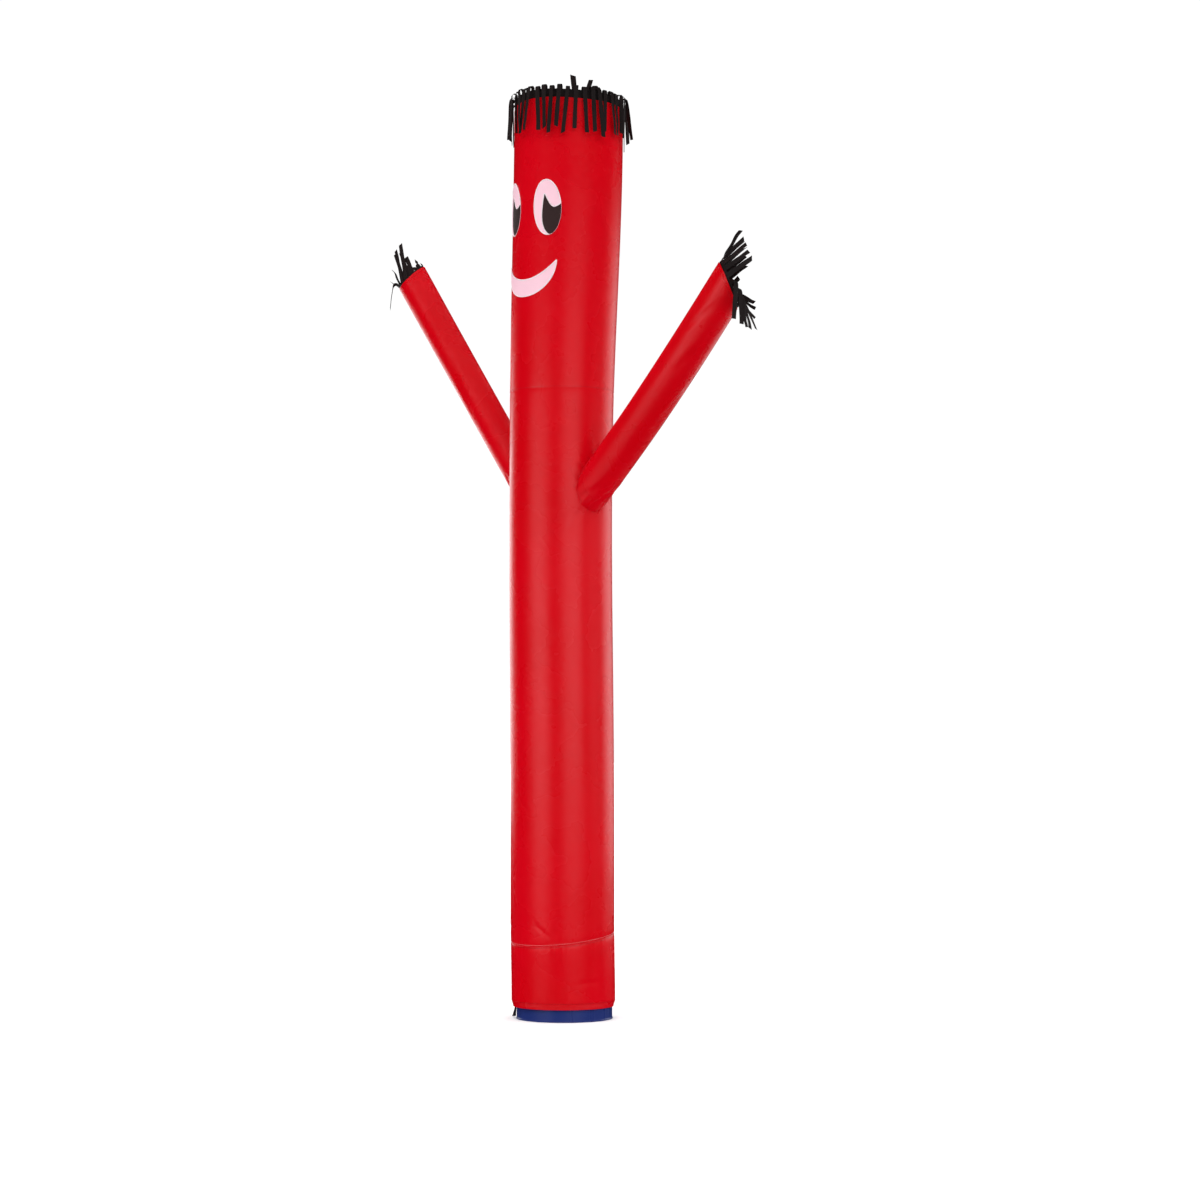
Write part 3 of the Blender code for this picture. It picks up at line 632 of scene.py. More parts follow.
def cutArmHoles(body):
    for name in arms:
        angle, distance = np.meshgrid(roundAngles(plugRule["columns"]), np.linspace(*plugRule["reach"]))
        outer = armSurface(name, angle, distance, plugRule["slack"])
        number = np.arange(angle.size).reshape(angle.shape)
        caps = np.stack((number[0, ::-1], number[-1]))
        plug = meshObject("plug_" + name, outer, corners(closing(number)), redNylon, caps=caps)
        hole = body.modifiers.new("hole_" + name, "BOOLEAN")
        hole.operation, hole.solver, hole.object = "DIFFERENCE", "EXACT", plug
        with bpy.context.temp_override(object=body):
            bpy.ops.object.modifier_apply(modifier=hole.name)
        bpy.data.objects.remove(plug)


base, body = makeTube()
print("tube made")
sleeves = {name: makeArm(name) for name in arms}
cutArmHoles(body)
print("sleeves made")

# Fringes: a header strip inside each open end, and ribbons that leave its upper edge

ribbon = dict(width=0.0126, thick=0.0006, steps=22, headerGap=0.0012, tuck=0.012, rooted=0.001,
              widths=(0.98, 1.12), waves=(0.6, 1.6), skew=0.7, narrowing=0.05, uneven=(9, 6), headerV=0.03,
              twistOver=(0.15, 1.0), turnOver=(0.03, 0.32), waveOver=(0.2, 1.0), narrowOver=(0.0, 0.25),
              cupOver=(0.05, 0.5))  # over: the shares of a ribbon's length in which an effect comes in
headFringe = dict(count=44, strand=0.15, spread=(0.97, 1.04), rise=(0.002, 0.006), turn=(0.017, 0.023),
                  bend=(176, 184), lean=(-0.12, 0.12), turnSpread=(0.95, 1.1), headerRise=0.025, headerRows=7,
                  headerColumns=264, inside=0.0006, wander=(0.0006, 31, (9, 27), 6.0),
                  edge=(0.0016, 33, (20, 60), 0.0), seed=7, lookSeed=21, twist=0.16, wave=0.0018, cup=0.0011)
# The ribbons that differ: bearing, length, straight rise, length of the turn, its angle in degrees, sideways
# lean, how far the ribbon is turned about itself, in radians, and its width as a share of the usual one
oddRibbons = (
    (221, 0.14, 0.052, 0.075, 8, 0.12, 0.0, 1.25), (213, 0.13, 0.045, 0.08, 22, -0.2, 0.0, 1.2),
    (205, 0.146, 0.096, 0.03, 160, -0.1, 0.0, 1.1), (196, 0.146, 0.092, 0.026, 165, 0.05, 0.0, 1.0),
    (245, 0.146, 0.07, 0.032, 164, 0.16, 0.0, 1.0), (262, 0.146, 0.06, 0.03, 168, -0.1, 0.0, 1.0),
    (278, 0.146, 0.044, 0.026, 170, 0.12, 0.0, 1.0), (295, 0.146, 0.026, 0.026, 174, -0.12, 0.0, 1.0),
    (311, 0.14, 0.008, 0.02, 177, 0.1, 1.2, 1.0), (327, 0.14, 0.003, 0.022, 178, -0.1, -1.2, 1.0),
    (344, 0.14, 0.004, 0.02, 180, 0.05, 1.0, 1.0), (90, 0.14, 0.003, 0.016, 178, -0.06, 0.0, 1.0),
    (98, 0.14, 0.003, 0.018, 178, 0.08, 0.0, 1.0), (106, 0.136, 0.003, 0.014, 178, 0.02, 0.0, 1.0),
    (115, 0.136, 0.003, 0.022, 178, -0.06, 1.0, 1.0), (131, 0.14, 0.003, 0.024, 173, 0.08, -1.2, 1.0),
    (147, 0.14, 0.004, 0.022, 178, -0.1, 1.2, 1.0), (164, 0.14, 0.024, 0.024, 176, 0.1, 0.0, 1.0),
)
ribbonProfile = np.array(((-0.5, -0.5), (-0.17, -0.5), (0.17, -0.5), (0.5, -0.5),
                          (0.5, 0.5), (0.17, 0.5), (-0.17, 0.5), (-0.5, 0.5)))


def fringe(name, node, rule, seed, girth, headerPoint, headings, lengths, acrosses, turned, wider=1.0):
    # headerPoint gives places on the header from a bearing, how far past the mouth and how far inward. headings
    # gives directions from the distances along each ribbon, (ribbons, steps), and a ribbon's line is its root
    # plus the sum of them
    roots = headerPoint(roundAngles(len(lengths)), rule["headerRise"] - ribbon["rooted"], ribbon["thick"] / 2)
    look, steps = ribbonLook(len(lengths), seed + rule["lookSeed"], rule), ribbon["steps"]
    phase = look["phase"][:, None]
    t = np.linspace(0, 1, steps + 1)
    along = lengths[:, None] * t[None]
    pieces = unit(headings((along[:, 1:] + along[:, :-1]) / 2)) * (lengths / steps)[:, None, None]
    middle = roots[:, None] + np.concatenate((np.zeros_like(pieces[:, :1]), np.cumsum(pieces, 1)), 1)
    forward = unit(np.gradient(middle, axis=1))
    across = squareTo(forward, acrosses[:, None])
    facing = np.cross(forward, across)
    twist = look["twist"][:, None] * smoothStep(t, *ribbon["twistOver"])[None]
    twist = twist + turned[:, None] * smoothStep(t, *ribbon["turnOver"])[None]
    side = across * np.cos(twist)[..., None] + facing * np.sin(twist)[..., None]
    front = np.cross(forward, side)
    sweep = np.sin(fullTurn * (look["waves"][:, None] * t + phase))
    middle = middle + front * (look["wave"][:, None] * smoothStep(t, *ribbon["waveOver"]) * sweep)[..., None]
    less, (pace, shift) = ribbon["narrowing"], ribbon["uneven"]
    narrower = 1 - less * smoothStep(t, *ribbon["narrowOver"]) + less * np.sin(pace * t + shift * phase)
    wide = (look["width"] * wider)[:, None] * narrower
    points = strands(middle, side, front, ribbonProfile, wide, np.full_like(wide, ribbon["thick"]))
    cup = (1 - 4 * ribbonProfile[:, 0] ** 2) * look["cup"][:, None, None]
    points = points + front[:, :, None] * (cup * smoothStep(t, *ribbon["cupOver"])[None, :, None])[..., None]
    slope = look["cut"][:, None] * ribbonProfile[:, 0] * ribbon["width"]  # the end is cut a little askew
    points[:, -1] += forward[:, -1][:, None] * slope[..., None]
    columns, rows, rise = rule["headerColumns"], rule["headerRows"], rule["headerRise"]
    at, past = np.meshgrid(roundAngles(columns), np.linspace(-ribbon["tuck"], rise, rows))
    edge = rippled(at, past, rule["edge"], seed) * smoothStep(past, 0.0, rise)
    wander = rippled(at, past, rule["wander"])
    header = [headerPoint(at, past + edge, wander + wall) for wall in (0.0, ribbon["thick"])]
    number = np.arange(rows * columns).reshape(rows, columns)
    headerFaces = walls(closing(number), number.size, True)
    u, v = np.meshgrid(girth * np.arange(columns) / columns, np.linspace(0, ribbon["headerV"], rows))
    headerUvs = np.stack((u, v), -1).reshape(-1, 2)[headerFaces.ravel() % number.size]
    quads, caps = strandFaces(len(roots), steps + 1, len(ribbonProfile), 2 * number.size)
    uvs = np.concatenate((headerUvs, strandUvs(along, ribbonProfile, ribbon["width"])))
    points = np.concatenate((np.stack(header).reshape(-1, 3), points.reshape(-1, 3)))
    made = meshObject(name, points, np.concatenate((headerFaces, quads)), blackNylon, uvs, caps)
    return settled(made, "black_nylon", node)


def ribbonLook(count, seed, rule):  # how each ribbon departs from the plain one
    pick = np.random.default_rng(seed)
    wave, cup, skew = rule["wave"], rule["cup"], ribbon["skew"]
    return dict(twist=pick.normal(0, rule["twist"], count), wave=pick.uniform(-wave, wave, count),
                waves=pick.uniform(*ribbon["waves"], count), phase=pick.uniform(0, 1, count),
                width=ribbon["width"] * pick.uniform(*ribbon["widths"], count),
                cup=pick.uniform(-cup, cup, count), cut=pick.uniform(-skew, skew, count))


def makeHeadFringe():
    rule, pick = headFringe, random.Random(headFringe["seed"])
    count = rule["count"]
    keys = ("length", "rise", "turn", "bend", "lean", "turned", "wide")
    odd = {round(at * count / 360) % count: dict(zip(keys, row)) for at, *row in oddRibbons}
    rows = []
    for i in range(count):
        row = dict(length=rule["strand"] * pick.uniform(*rule["spread"]), bend=pick.uniform(*rule["bend"]),
                   turn=rule["turn"][i % 2] * pick.uniform(*rule["turnSpread"]),
                   lean=pick.uniform(*rule["lean"]), rise=pick.uniform(*rule["rise"]), turned=0.0, wide=1.0)
        rows.append(row | odd.get(i, {}))
    values = {key: np.array([row[key] for row in rows])[:, None] for key in keys}
    angle = roundAngles(count)
    out, across = around(angle), around(angle + np.pi / 2)

    def headings(along):  # straight up, then turning over outward by the bend while the turn lasts
        swung = np.radians(values["bend"]) * np.clip((along - values["rise"]) / values["turn"], 0, 1)
        leaning = values["lean"] * smoothStep(along, 0, values["turn"])
        return (upright * np.cos(swung)[..., None] + out[:, None] * np.sin(swung)[..., None]
                + across[:, None] * leaning[..., None])

    def headerPoint(at, above, inward):
        z, inside = rimHeight(at) + above, tube["cloth"] + ribbon["headerGap"] + rule["inside"] + inward
        return tubeCentre(z) + around(at) * (tubeRadius(z) - inside)[..., None]

    lengths, turned, wider = (values[key][:, 0] for key in ("length", "turned", "wide"))
    return fringe("head_ribbons", "head_fringe", rule, 0, fullTurn * tube["radius"], headerPoint, headings,
                  lengths, across, turned, wider)


# Arm ribbons, in order round the mouth from its upper side: length, how far the heading falls below the arm's,
# how far it leans outward, the share by which it turns down, and how far the air carries it along as it hangs
armRibbons = dict(
    right=(
        (0.1, 0.26, 0.0, 0.05, 0.0), (0.102, 0.22, 0.0, 0.05, 0.0), (0.102, 0.24, 0.0, 0.0, 0.0),
        (0.108, 0.0, 0.03, 0.0, 0.0), (0.102, 0.28, 0.0, 0.05, 0.0), (0.098, 0.33, -0.03, 0.05, 0.0),
        (0.094, 0.34, -0.1, 0.05, 0.0), (0.134, 0.2, 0.3, 1.0, -0.08), (0.128, 0.2, 0.2, 1.0, 0.04),
        (0.118, 0.2, 0.15, 1.0, 0.12), (0.108, 0.2, 0.1, 1.0, 0.24), (0.112, 0.2, 0.1, 1.0, 0.52),
        (0.08, 0.2, 0.1, 1.0, 0.25), (0.085, 0.3, 0.1, 0.9, 0.8), (0.088, 0.25, 0.0, 0.75, 1.15),
        (0.092, 0.6, 0.0, 0.6, 1.1), (0.045, 0.1, 0.0, 0.05, 0.0), (0.088, 0.24, -0.1, 0.05, 0.0),
        (0.094, 0.28, 0.0, 0.05, 0.0),
    ),
    left=(
        (0.028, 0.0, 0.0, 0.0, 0.0), (0.012, 0.0, 0.0, 0.0, 0.0), (0.01, 0.0, 0.0, 0.0, 0.0),
        (0.012, 0.0, 0.0, 0.0, 0.0), (0.032, -0.33, 0.0, 0.0, 0.0), (0.084, -0.12, 0.0, 0.0, 0.0),
        (0.11, -0.25, 0.0, 0.0, 0.0), (0.118, -0.24, 0.0, 0.0, 0.0), (0.076, -0.05, 0.0, 0.0, 0.0),
        (0.052, 0.4, 0.0, 0.0, 0.0), (0.1, 0.0, 0.4, 1.0, 0.1), (0.112, -0.42, 0.0, 0.0, 0.0),
        (0.116, -0.48, 0.0, 0.0, 0.0), (0.046, -0.45, 0.0, 0.0, 0.0), (0.012, -0.1, 0.0, 0.0, 0.0),
    ),
)
armTurned = dict(right={2: 0.9, 3: -0.9, 14: 0.9, 15: -0.9}, left={})  # turned about themselves, in radians
armFringe = dict(turnsDownBy=0.4, hangsOutward=0.1, headerRise=0.008, headerRows=6, headerColumns=120,
                 inside=0.0015, wander=(0.0, 0, (1, 1), 0.0), edge=(0.0008, 9, (8, 20), 0.0), lookSeed=20,
                 twist=0.2, wave=0.0026, cup=0.0011)


def makeArmFringe(name):
    arm, rule = arms[name], armFringe
    base, along, up, side = armAxes(arm)
    radius = arm["tip"] - rule["inside"] - ribbon["headerGap"]
    lengths, fall, outward, droop, carried = np.array(armRibbons[name]).T
    count = len(lengths)
    angle = roundAngles(count)
    ring = armRing(arm, angle)
    start = unit(along - up * fall[:, None] + ring * outward[:, None])
    limp = ring * rule["hangsOutward"] + np.stack((arm["side"] * carried, 0 * carried, -np.ones(count)), -1)

    def headings(distance):  # from the start towards limp, by the droop, over the first stretch
        hang = (droop[:, None] * smoothStep(distance, 0.0, rule["turnsDownBy"] * lengths[:, None]))[..., None]
        return start[:, None] * (1 - hang) + limp[:, None] * hang

    def headerPoint(at, beyond, inward):
        ahead, out = armLength(arm, at) + beyond, radius - inward + 0 * at
        return base + along * ahead[..., None] + armRing(arm, at) * out[..., None]

    turned = np.array([armTurned[name].get(i, 0.0) for i in range(count)])
    acrosses = side * np.cos(angle)[:, None] - up * np.sin(angle)[:, None]
    return fringe("sleeve_ribbons_" + name, "arm_fringe_" + name, rule, arm["seed"], fullTurn * radius,
                  headerPoint, headings, lengths, acrosses, turned)


headRibbons = makeHeadFringe()
sleeveRibbons = {name: makeArmFringe(name) for name in arms}
print("fringes made")

# Face: sheets sewn on the tube, each with a small clearance to what is under it, and a satin border. Places on
# the eye and pupil are across and up from the eye's middle, and those of the mouth are heights on the tube

face = dict(off=0.0004, thick=0.0009, eyeWide=0.0433, eyeTall=0.0815, lean=-0.06, inset=0.0006,
            pupilLeft=(-0.0151, -0.0308), pupilPeak=(-0.0057, 0.0375), pupilNotch=(0.0223, -0.002),
            pupilLowest=0.013, pupilRise=0.01, mouthAngle=4.3, mouthLeft=0.118, mouthRight=0.1005,
            mouthLow=2.0985, mouthMiddle=2.1495, mouthTip=2.2005, thinnest=0.0008, besideEdge=0.0002,
            risePower=0.6, lastPower=1.5, mouthEnd=0.9985, eyeGrid=(97, 61), pupilSteps=(13, 25),
            pupilRows=65, mouthGrid=(33, 121))
eyes = dict(right=dict(angle=28.3, height=2.354, wide=1.0, tall=1.0),
            left=dict(angle=-24.5, height=2.3645, wide=1.06, tall=0.97))
# The border's inset and its distance from the pupil are shares of its width, and clear is a share of that
# distance. The eye's edge is swept through these degrees, and the part beside the pupil keeps within so much of
# the eye's oval
border = dict(width=0.0036, height=0.001, inset=0.42, besidePupil=0.6, steps=60, within=0.96, clear=1.3,
              sweep=(86, -200, 240), count=300)
borderProfile = np.array(((-0.5, -0.1), (-0.2, -0.1), (0.2, -0.1), (0.5, -0.1), (0.46, 0.45), (0.22, 0.9),
                          (0, 1.0), (-0.22, 0.9), (-0.46, 0.45)))


def oval(x, wide, tall):
    return tall * np.sqrt(np.maximum(1 - (x / wide) ** 2, 0))


def patch(name, middle, x, z, standOff, finish, node, slot):  # a sheet from grids of places across and up
    angle = middle + x / tubeRadius(z)
    outer, inner = onTube(angle, z, standOff + face["thick"]), onTube(angle, z, standOff)
    return settled(shell(name, outer, inner, x, z, finish, False), slot, node)


def edging(name, middle, x, z):
    # a raised border along a closed line of places; its profile is carried round with the tube's outward
    angle = middle + x / tubeRadius(z)
    line, out = onTube(angle, z, face["off"] + face["thick"]), around(angle)
    forward = unit(np.roll(line, -1, 0) - np.roll(line, 1, 0))
    side = unit(np.cross(out, forward))
    size = np.ones((1, len(line)))
    points = strands(line[None], side[None], np.cross(forward, side)[None], borderProfile,
                     size * border["width"], size * border["height"])[0]
    number = np.arange(points[..., 0].size).reshape(points.shape[:2])
    v = np.broadcast_to(distances(closing(line, 0))[:, None], np.add(number.shape, 1))
    quads, uvs = corners(closing(closing(number, 0))), corners(np.stack((v, 0 * v), -1))
    return settled(meshObject(name, points, quads, borderThread, uvs), "white_nylon")


def onEye(eye, x, up):  # from places across and up from an eye's middle to places across and up the tube
    return eye["wide"] * x + face["lean"] * up, eye["height"] + eye["tall"] * up


def evenly(line, count):  # the same closed line at equal steps, its corners eased a little
    line = closing(line, 0)
    far = distances(line)
    line = sampled(np.linspace(0, far[-1], count + 1)[:-1], far, line)
    return (np.roll(line, 1, 0) + 2 * line + np.roll(line, -1, 0)) / 4


def whiteEdge():
    # the line that the border follows: inside the eye's edge, then back beside the pupil from foot to corner
    beside, inset = border["width"] * border["besidePupil"], border["width"] * border["inset"]
    wide, tall = face["eyeWide"], face["eyeTall"]
    (leftX, leftZ), (peakX, peakZ), (notchX, notchZ) = face["pupilLeft"], face["pupilPeak"], face["pupilNotch"]
    t = np.linspace(0, 1, border["steps"])
    foot = np.stack((leftX + (face["pupilLowest"] - leftX) * (1 - np.cos(t[::-1] * np.pi / 2)),
                     leftZ - (tall + leftZ) * np.sin(t[::-1] * np.pi / 2)), -1)
    left = np.stack((mix(leftX, peakX, t ** (1 / face["risePower"])), mix(leftZ, peakZ, t)), -1)
    hollow = np.stack((mix(peakX, notchX, t), mix(peakZ, notchZ, np.sin(t * np.pi / 2))), -1)
    last = np.stack((mix(notchX, wide, t), notchZ + face["pupilRise"] * t ** face["lastPower"]), -1)
    pupil = np.concatenate((foot[:-1], left, hollow[1:], last[1:]))
    ahead = unit(np.gradient(pupil, axis=0))
    back = pupil + np.stack((-ahead[:, 1], ahead[:, 0]), -1) * beside
    back = back[(back[:, 0] / (wide - inset)) ** 2 + (back[:, 1] / (tall - inset)) ** 2 < border["within"]]
    turn = np.radians(np.linspace(*border["sweep"]))
    rim = np.stack(((wide - inset) * np.sin(turn), (tall - inset) * np.cos(turn)), -1)
    rim = rim[np.linalg.norm(rim[:, None] - pupil[None], axis=-1).min(1) > beside * border["clear"]]
    return evenly(np.concatenate((rim, back)), border["count"])


def makeFace():
    made = {}
    v, u = np.meshgrid(*(np.linspace(-1, 1, count) for count in face["eyeGrid"]), indexing="ij")
    eyeX = face["eyeWide"] * u * np.sqrt(1 - v**2 / 2)  # a square bent into a round, then stretched to the oval
    eyeUp = face["eyeTall"] * v * np.sqrt(1 - u**2 / 2)
    wide, tall = face["eyeWide"] - face["inset"], face["eyeTall"] - face["inset"]
    (leftX, leftZ), (peakX, peakZ), (notchX, notchZ) = face["pupilLeft"], face["pupilPeak"], face["pupilNotch"]

    def pupilHigh(x):  # up a leaning left side to a peak, down a hollow to the notch, and up a little
        rising = mix(leftZ, peakZ, np.clip((x - leftX) / (peakX - leftX), 0, 1) ** face["risePower"])
        hollow = mix(peakZ, notchZ, np.sin(np.clip((x - peakX) / (notchX - peakX), 0, 1) * np.pi / 2))
        last = np.clip((x - notchX) / (wide - notchX), 0, 1) ** face["lastPower"]
        last = notchZ + face["pupilRise"] * last
        return np.where(x < peakX, rising, np.where(x < notchX, hollow, np.minimum(last, oval(x, wide, tall))))

    def pupilLow(x):  # a round left side that runs into the eye's own edge
        t = np.clip((x - leftX) / (face["pupilLowest"] - leftX), 0, 1)
        curve = leftZ - (face["eyeTall"] + leftZ) * np.sqrt(1 - (1 - t) ** 2)
        return np.maximum(curve, -oval(x, wide, tall))

    def between(low, high, rows):  # heights from low to high, which stay a little apart
        share = np.linspace(0, 1, rows)[:, None]
        return mix(low[None], np.maximum(high, low + face["thinnest"])[None], share)

    few, many = (np.linspace(0, 1, count) for count in face["pupilSteps"])
    x = np.concatenate((mix(leftX + face["besideEdge"], peakX, few), mix(peakX, notchX, many)[1:],
                        mix(notchX, wide - face["besideEdge"], 1 - many[::-1] ** 2)[1:]))
    pupilUp = between(pupilLow(x), pupilHigh(x), face["pupilRows"])
    pupilX = x[None] + 0 * pupilUp
    lineX, lineUp = whiteEdge().T
    for word, eye in eyes.items():
        at, off, above = np.radians(eye["angle"]), face["off"], face["off"] * 2 + face["thick"]
        made["eye_" + word] = patch("eye_white_" + word, at, *onEye(eye, eyeX, eyeUp), off, whiteNylon,
                                    "eye_" + word, "white_nylon")
        made["pupil_" + word] = patch("pupil_cloth_" + word, at, *onEye(eye, pupilX, pupilUp), above,
                                      pupilNylon, "pupil_" + word, "pupil_nylon")
        made["eye_border_" + word] = edging("eye_border_" + word, at, *onEye(eye, lineX, lineUp))
    tip, at, inset = face["mouthTip"], np.radians(face["mouthAngle"]), border["width"] * border["inset"]
    mouthRows, mouthColumns = face["mouthGrid"]
    x = face["mouthEnd"] * np.sin(np.linspace(-np.pi / 2, np.pi / 2, mouthColumns))
    low, high = tip - oval(x, 1.0, tip - face["mouthLow"]), mix(face["mouthMiddle"], tip, x**2)
    heights = between(low, high, mouthRows)
    x, high = x * np.where(x < 0, face["mouthLeft"], face["mouthRight"]), heights[-1]
    made["mouth"] = patch("mouth_cloth", at, x[None] + 0 * heights, heights, face["off"], whiteNylon, "mouth",
                          "white_nylon")
    lineX = np.concatenate((x[2:-2], x[-3:1:-1])) * (1 - inset / face["mouthRight"])
    lineZ = np.concatenate((low[2:-2] + inset, high[-3:1:-1] - inset))
    made["mouth_border"] = edging("mouth_border", at, lineX, lineZ)
    return made


facePieces = makeFace()
print("face made")

# Seams: rows of stitches on both sides of the sloping seam, round the hem, the cross seam, roots and mouths

seamStitch = dict(pitch=0.0046, long=0.0036, rise=0.0007, thread=0.00055)
fineStitch = dict(pitch=0.004, long=0.0031, rise=0.0005, thread=0.00035)
stitchRows = dict(besideSeam=0.004, aboveCross=0.0035, pastRoot=0.006, proud=0.0001)


def makeStitching():
    made, rule, proud = [], stitchRows, stitchRows["proud"]
    angle = np.linspace(0, fullTurn, 721)
    for name, height, standOff, stitch, thread in (
            # the upper row's pale thread is painted highlight on real stitches
            ("seam_stitches_upper", seamHeight(angle) + rule["besideSeam"], proud, seamStitch, paleThreadPaintedHighlight),
            ("seam_stitches_lower", seamHeight(angle) - rule["besideSeam"], proud, seamStitch, redThread),
            ("hem_stitches", tube["hem"] + relief["hemRow"] + 0 * angle, proud, seamStitch, redThread),
            ("cross_stitches", tube["crossSeam"] + rule["aboveCross"] + 0 * angle, 0.0, fineStitch, redThread),
            ("rim_stitches", rimHeight(angle) - relief["rimRow"], proud, fineStitch, redThread)):
        made.append(stitches(name, onTube(angle, height, standOff), around(angle), stitch, thread))
    angle = np.linspace(0, fullTurn, 361)
    for name, arm in arms.items():
        for word, distance in (("root", armRootDistance(name, angle) + rule["pastRoot"]),
                               ("mouth", armLength(arm, angle) - armRelief["hemRow"])):
            line, out = armSurface(name, angle, distance, proud), armRing(arm, angle)
            made.append(stitches(f"sleeve_{word}_stitches_{name}", line, out, fineStitch, redThread))
    return made


stitching = makeStitching()
print("stitching made")

# Blower collar: a turned ring on the same radii as the solid, its corners rounded off

collar = dict(radius=0.1395, wall=0.007, height=0.08, edge=0.0012, bead=0.0012, beadTall=0.0048,
              overBead=0.0008, onBead=0.0005, columns=240, cornerSteps=7)
collarLook = dict(roughness=0.3, gloss=0.4, coat=0.15, coatRoughness=0.12, colours=(
    (0.015, 0.028, 0.145), (0.0165, 0.03, 0.155), (0.0155, 0.029, 0.15)), shine=(0.26, 0.34),
    shineSpan=(0.2, 0.8), streaks=34.0, streakStretch=(1.0, 1.0, 0.06), streakSpan=(0.35, 0.75), clouds=12.0,
    cloudSpan=(0.4, 0.8), cloudShare=(0.0, 0.5), relief=0.00012)


def plastic():
    look = collarLook
    made, tree, shader = newMaterial("navyPlastic", look)
    place, _, _ = coordinatesOf(tree)
    first, second, third = look["colours"]
    streaks = noise(tree, place, look["streaks"], 4.0, look["streakStretch"])
    clouds = noise(tree, place, look["clouds"], 3.0)
    cloudy = ramp(tree, clouds, *look["cloudSpan"], *look["cloudShare"])
    colour = blend(tree, cloudy, blend(tree, ramp(tree, streaks, *look["streakSpan"]), first, second), third)
    feed(tree, shader.inputs["Base Color"], colour)
    feed(tree, shader.inputs["Roughness"], ramp(tree, streaks, *look["shineSpan"], *look["shine"]))
    bump(tree, shader, streaks, look["relief"])
    return made


def makeCollar():
    outer, edge, bead = collar["radius"], collar["edge"], collar["bead"]
    inner = outer - collar["wall"]
    flat, size = (np.array(part) for part in zip(  # each corner's radius and height, and how far it is rounded
        ((outer, collar["height"]), edge), ((outer, collar["beadTall"]), collar["overBead"]),
        ((outer + bead, collar["beadTall"] - bead), collar["onBead"]), ((outer + bead, 0.0), edge),
        ((inner, 0.0), edge), ((inner, collar["height"]), edge)))
    start, end = (flat + unit(np.roll(flat, step, 0) - flat) * size[:, None] for step in (1, -1))
    t = np.linspace(0, 1, collar["cornerSteps"])[None, :, None]
    start, middle, end = start[:, None], flat[:, None], end[:, None]
    curve = start * (1 - t) ** 2 + 2 * middle * t * (1 - t) + end * t**2  # a round corner on three points
    profile = curve.reshape(-1, 2)
    points = around(roundAngles(collar["columns"]))[None] * profile[:, 0][:, None, None]
    points[..., 2] = profile[:, 1][:, None]
    number = np.arange(points[..., 0].size).reshape(points.shape[:2])
    made = meshObject("collar_ring", points, corners(closing(closing(number, 0)), True), plastic())
    return settled(made, "navy_plastic", "collar")


# Loose strap end: webbing that turns as it hangs. Rows are height, distance from the axis, and turn in degrees

strap = dict(at=-47.0, width=0.018, thick=0.0015, long=0.053, steps=40, rows=(
    (0.056, 0.1424, 0), (0.044, 0.1428, 1), (0.035, 0.1434, 4), (0.025, 0.1446, 10), (0.014, 0.1468, 17),
    (0.004, 0.1486, 24)))
strapLook = dict(roughness=0.75, gloss=0.25, sheen=0.2, ribs=0.0016, picks=0.0011, relief=0.0002,
                 colours=((0.008, 0.008, 0.009), (0.024, 0.023, 0.025)))


def webbing():
    made, tree, shader = newMaterial("blackWebbing", strapLook)
    _, u, v = coordinatesOf(tree)
    height = threads(tree, u, v, strapLook["ribs"], strapLook["picks"])
    # The weave's low threads are painted in the darker colour and its raised ribs in the lighter one: painted
    # shade in the weave's dips
    feed(tree, shader.inputs["Base Color"], blend(tree, ramp(tree, height, -1.0, 1.0), *strapLook["colours"]))
    bump(tree, shader, height, strapLook["relief"])
    return made


def makeStrap():
    t = np.linspace(0, 1, strap["steps"] + 1)
    rows = np.array(strap["rows"])
    z, far, twist = sampled(t, np.linspace(0, 1, len(rows)), rows).T
    at, twist = np.radians(strap["at"]), np.radians(twist)[:, None]
    out, across = around(at), around(at + np.pi / 2)
    middle = (out * far[:, None] + upright * z[:, None])[None]
    forward = unit(np.gradient(middle, axis=1))
    side = squareTo(forward, (across * np.cos(twist) + out * np.sin(twist))[None])
    size = np.ones((1, len(t)))
    points = strands(middle, side, np.cross(forward, side), ribbonProfile, size * strap["width"],
                     size * strap["thick"])
    quads, caps = strandFaces(1, len(t), len(ribbonProfile))
    uvs = strandUvs((t * strap["long"])[None], ribbonProfile, strap["width"])
    return settled(meshObject("strap_end", points, quads, webbing(), uvs, caps), "black_webbing", "strap_tail")


makeCollar()
strapEnd = makeStrap()
print("collar and strap made")

print("no sheet sizes given")

# Studio: a pale floor, a pale surround, and soft boxes whose long reflections run up the tube

floor = dict(half=60.0, colour=(0.93, 0.93, 0.93), shade=0.985, roughness=0.9, gloss=0.0, grain=1.5)
surround = dict(seen=1.03, above=1.0, level=0.02, steep=(0.7, 0.85))
# Two rings of soft suns light everything evenly, the low one as a white floor would throw light back up. They
# leave the gloss to the soft boxes
suns = dict(count=12, heights=(38, -35), softness=24, strength=0.5, distance=12)
# A soft box: name, degrees to the right of the camera's bearing as the tube sees it, width in degrees, the
# heights of its foot and top, and how bright it is
boxDistance = 4.0
softBoxes = (
    ("boxLeft", -48, 36, 0.25, 2.2, 2.1), ("boxRight", 25, 42, 0.3, 2.45, 1.8),
    ("boxFarRight", 76, 22, 0.35, 2.0, 0.75), ("edgeRight", 128, 44, 0.25, 2.85, 1.6),
    ("edgeLeft", -160, 50, 0.5, 2.6, 2.2),
)


def addLamp(name, kind, bearing, out, place, **values):
    light = bpy.data.lights.new(name, kind)
    for key, value in values.items():
        setattr(light, key, value)
    lamp, right = addObject(name, light), around(bearing + np.pi / 2)
    lamp.matrix_world = matrixOf(right, np.cross(out, right), out, place)
    lamp.visible_camera = False
    return lamp


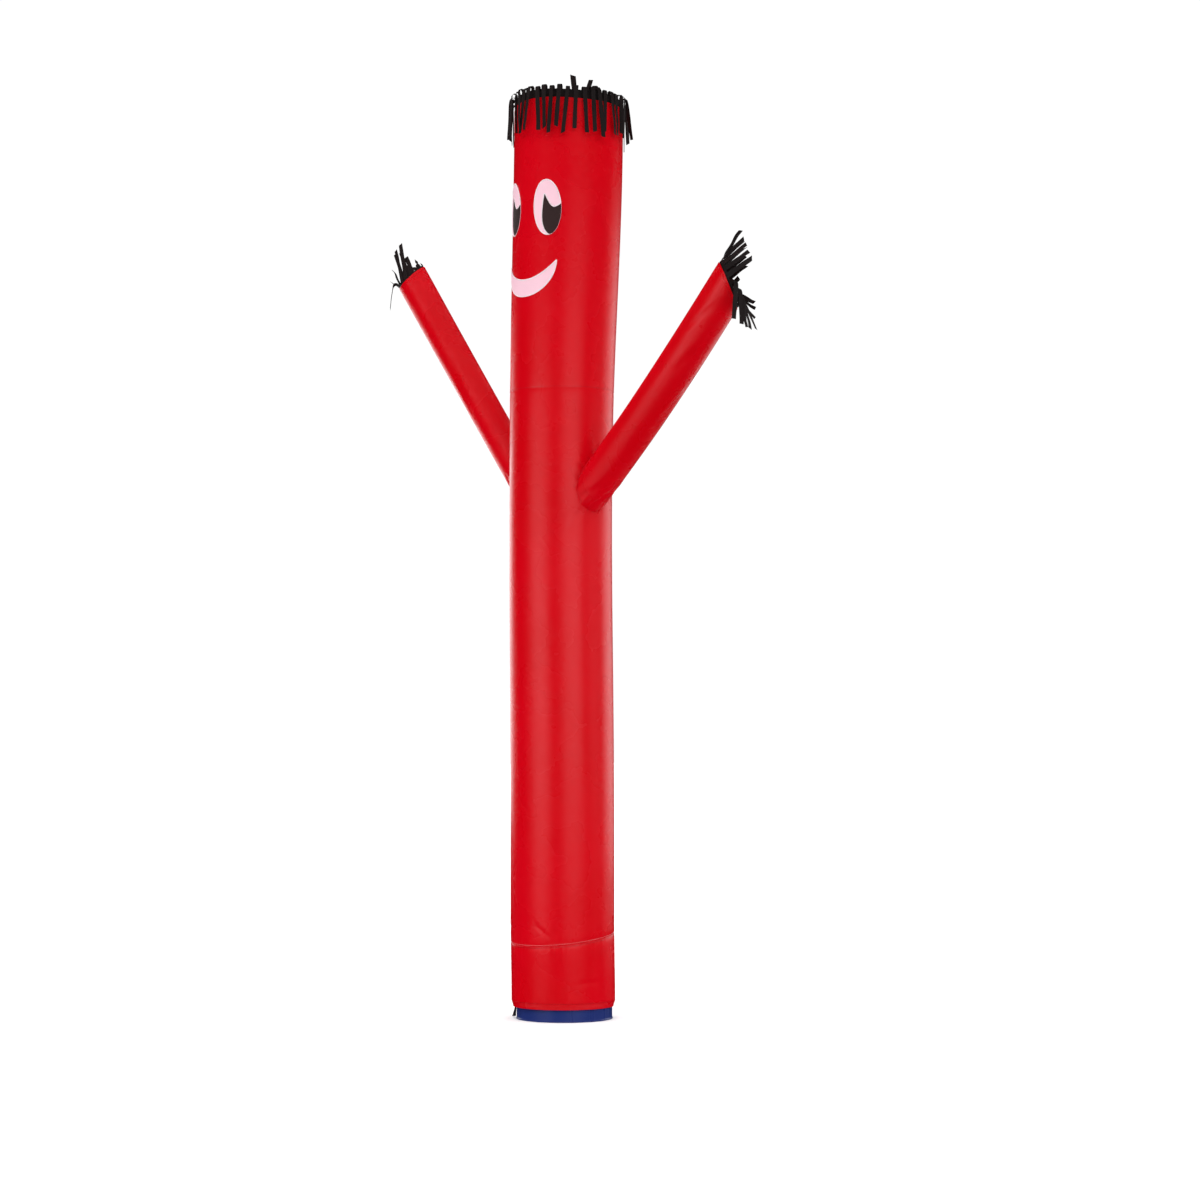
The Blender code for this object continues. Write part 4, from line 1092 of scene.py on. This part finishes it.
def makeSurround():  # bright straight above for the gloss, and plain white where the camera looks
    world = bpy.data.worlds.new("surround")
    bpy.context.scene.world = world
    world.use_nodes = True
    tree = world.node_tree
    apart = tree.nodes.new("ShaderNodeSeparateXYZ")
    tree.links.new(tree.nodes.new("ShaderNodeTexCoord").outputs["Generated"], apart.inputs["Vector"])
    strength = ramp(tree, apart.outputs["Z"], *surround["steep"], surround["level"], surround["above"])
    cameraRay = tree.nodes.new("ShaderNodeLightPath").outputs["Is Camera Ray"]
    seen = times(tree, calc(tree, "SUBTRACT", surround["seen"], strength), cameraRay)
    background = tree.nodes["Background"].inputs
    feed(tree, background["Strength"], calc(tree, "ADD", strength, seen))
    feed(tree, background["Color"], (1, 1, 1, 1))
    world.cycles_visibility.glossy = False


def makeFloor():
    half, colour = floor["half"], floor["colour"]
    mesh = bpy.data.meshes.new("floor")
    ring = [(-half, -half, 0), (half, -half, 0), (half, half, 0), (-half, half, 0)]
    mesh.from_pydata(ring, [], [(0, 1, 2, 3)])
    ground = addObject("floor", mesh)
    made, tree, shader = newMaterial("paleFloor", floor)
    grain = noise(tree, tree.nodes.new("ShaderNodeTexCoord").outputs["Object"], floor["grain"], 3.0)
    shade = tuple(floor["shade"] * part for part in colour)
    feed(tree, shader.inputs["Base Color"], blend(tree, grain, colour, shade))
    mesh.materials.append(made)
    ground.visible_glossy = ground.visible_diffuse = ground.visible_shadow = False


def makeLights():
    facing = np.radians(camera["bearing"])
    for i in range(2 * suns["count"]):
        bearing, height = facing + fullTurn * (i // 2 + 0.5) / suns["count"], np.radians(suns["heights"][i % 2])
        toSun = around(bearing) * np.cos(height) + upright * np.sin(height)
        lamp = addLamp(f"sun{i}", "SUN", bearing, toSun, toSun * suns["distance"],
                       angle=np.radians(suns["softness"]), energy=suns["strength"])
        lamp.visible_glossy = False
    for name, side, wide, foot, top, bright in softBoxes:
        bearing = facing + np.radians(side)
        out, across, tall = around(bearing), 2 * boxDistance * np.tan(np.radians(wide / 2)), top - foot
        lamp = addLamp(name, "AREA", bearing, out, out * boxDistance + upright * (top + foot) / 2,
                       shape="RECTANGLE", size=across, size_y=tall, energy=bright * np.pi * across * tall)
        lamp.visible_diffuse = False


bpy.context.scene.view_settings.view_transform = "Standard"
makeSurround()
makeFloor()
makeLights()
print("studio made")
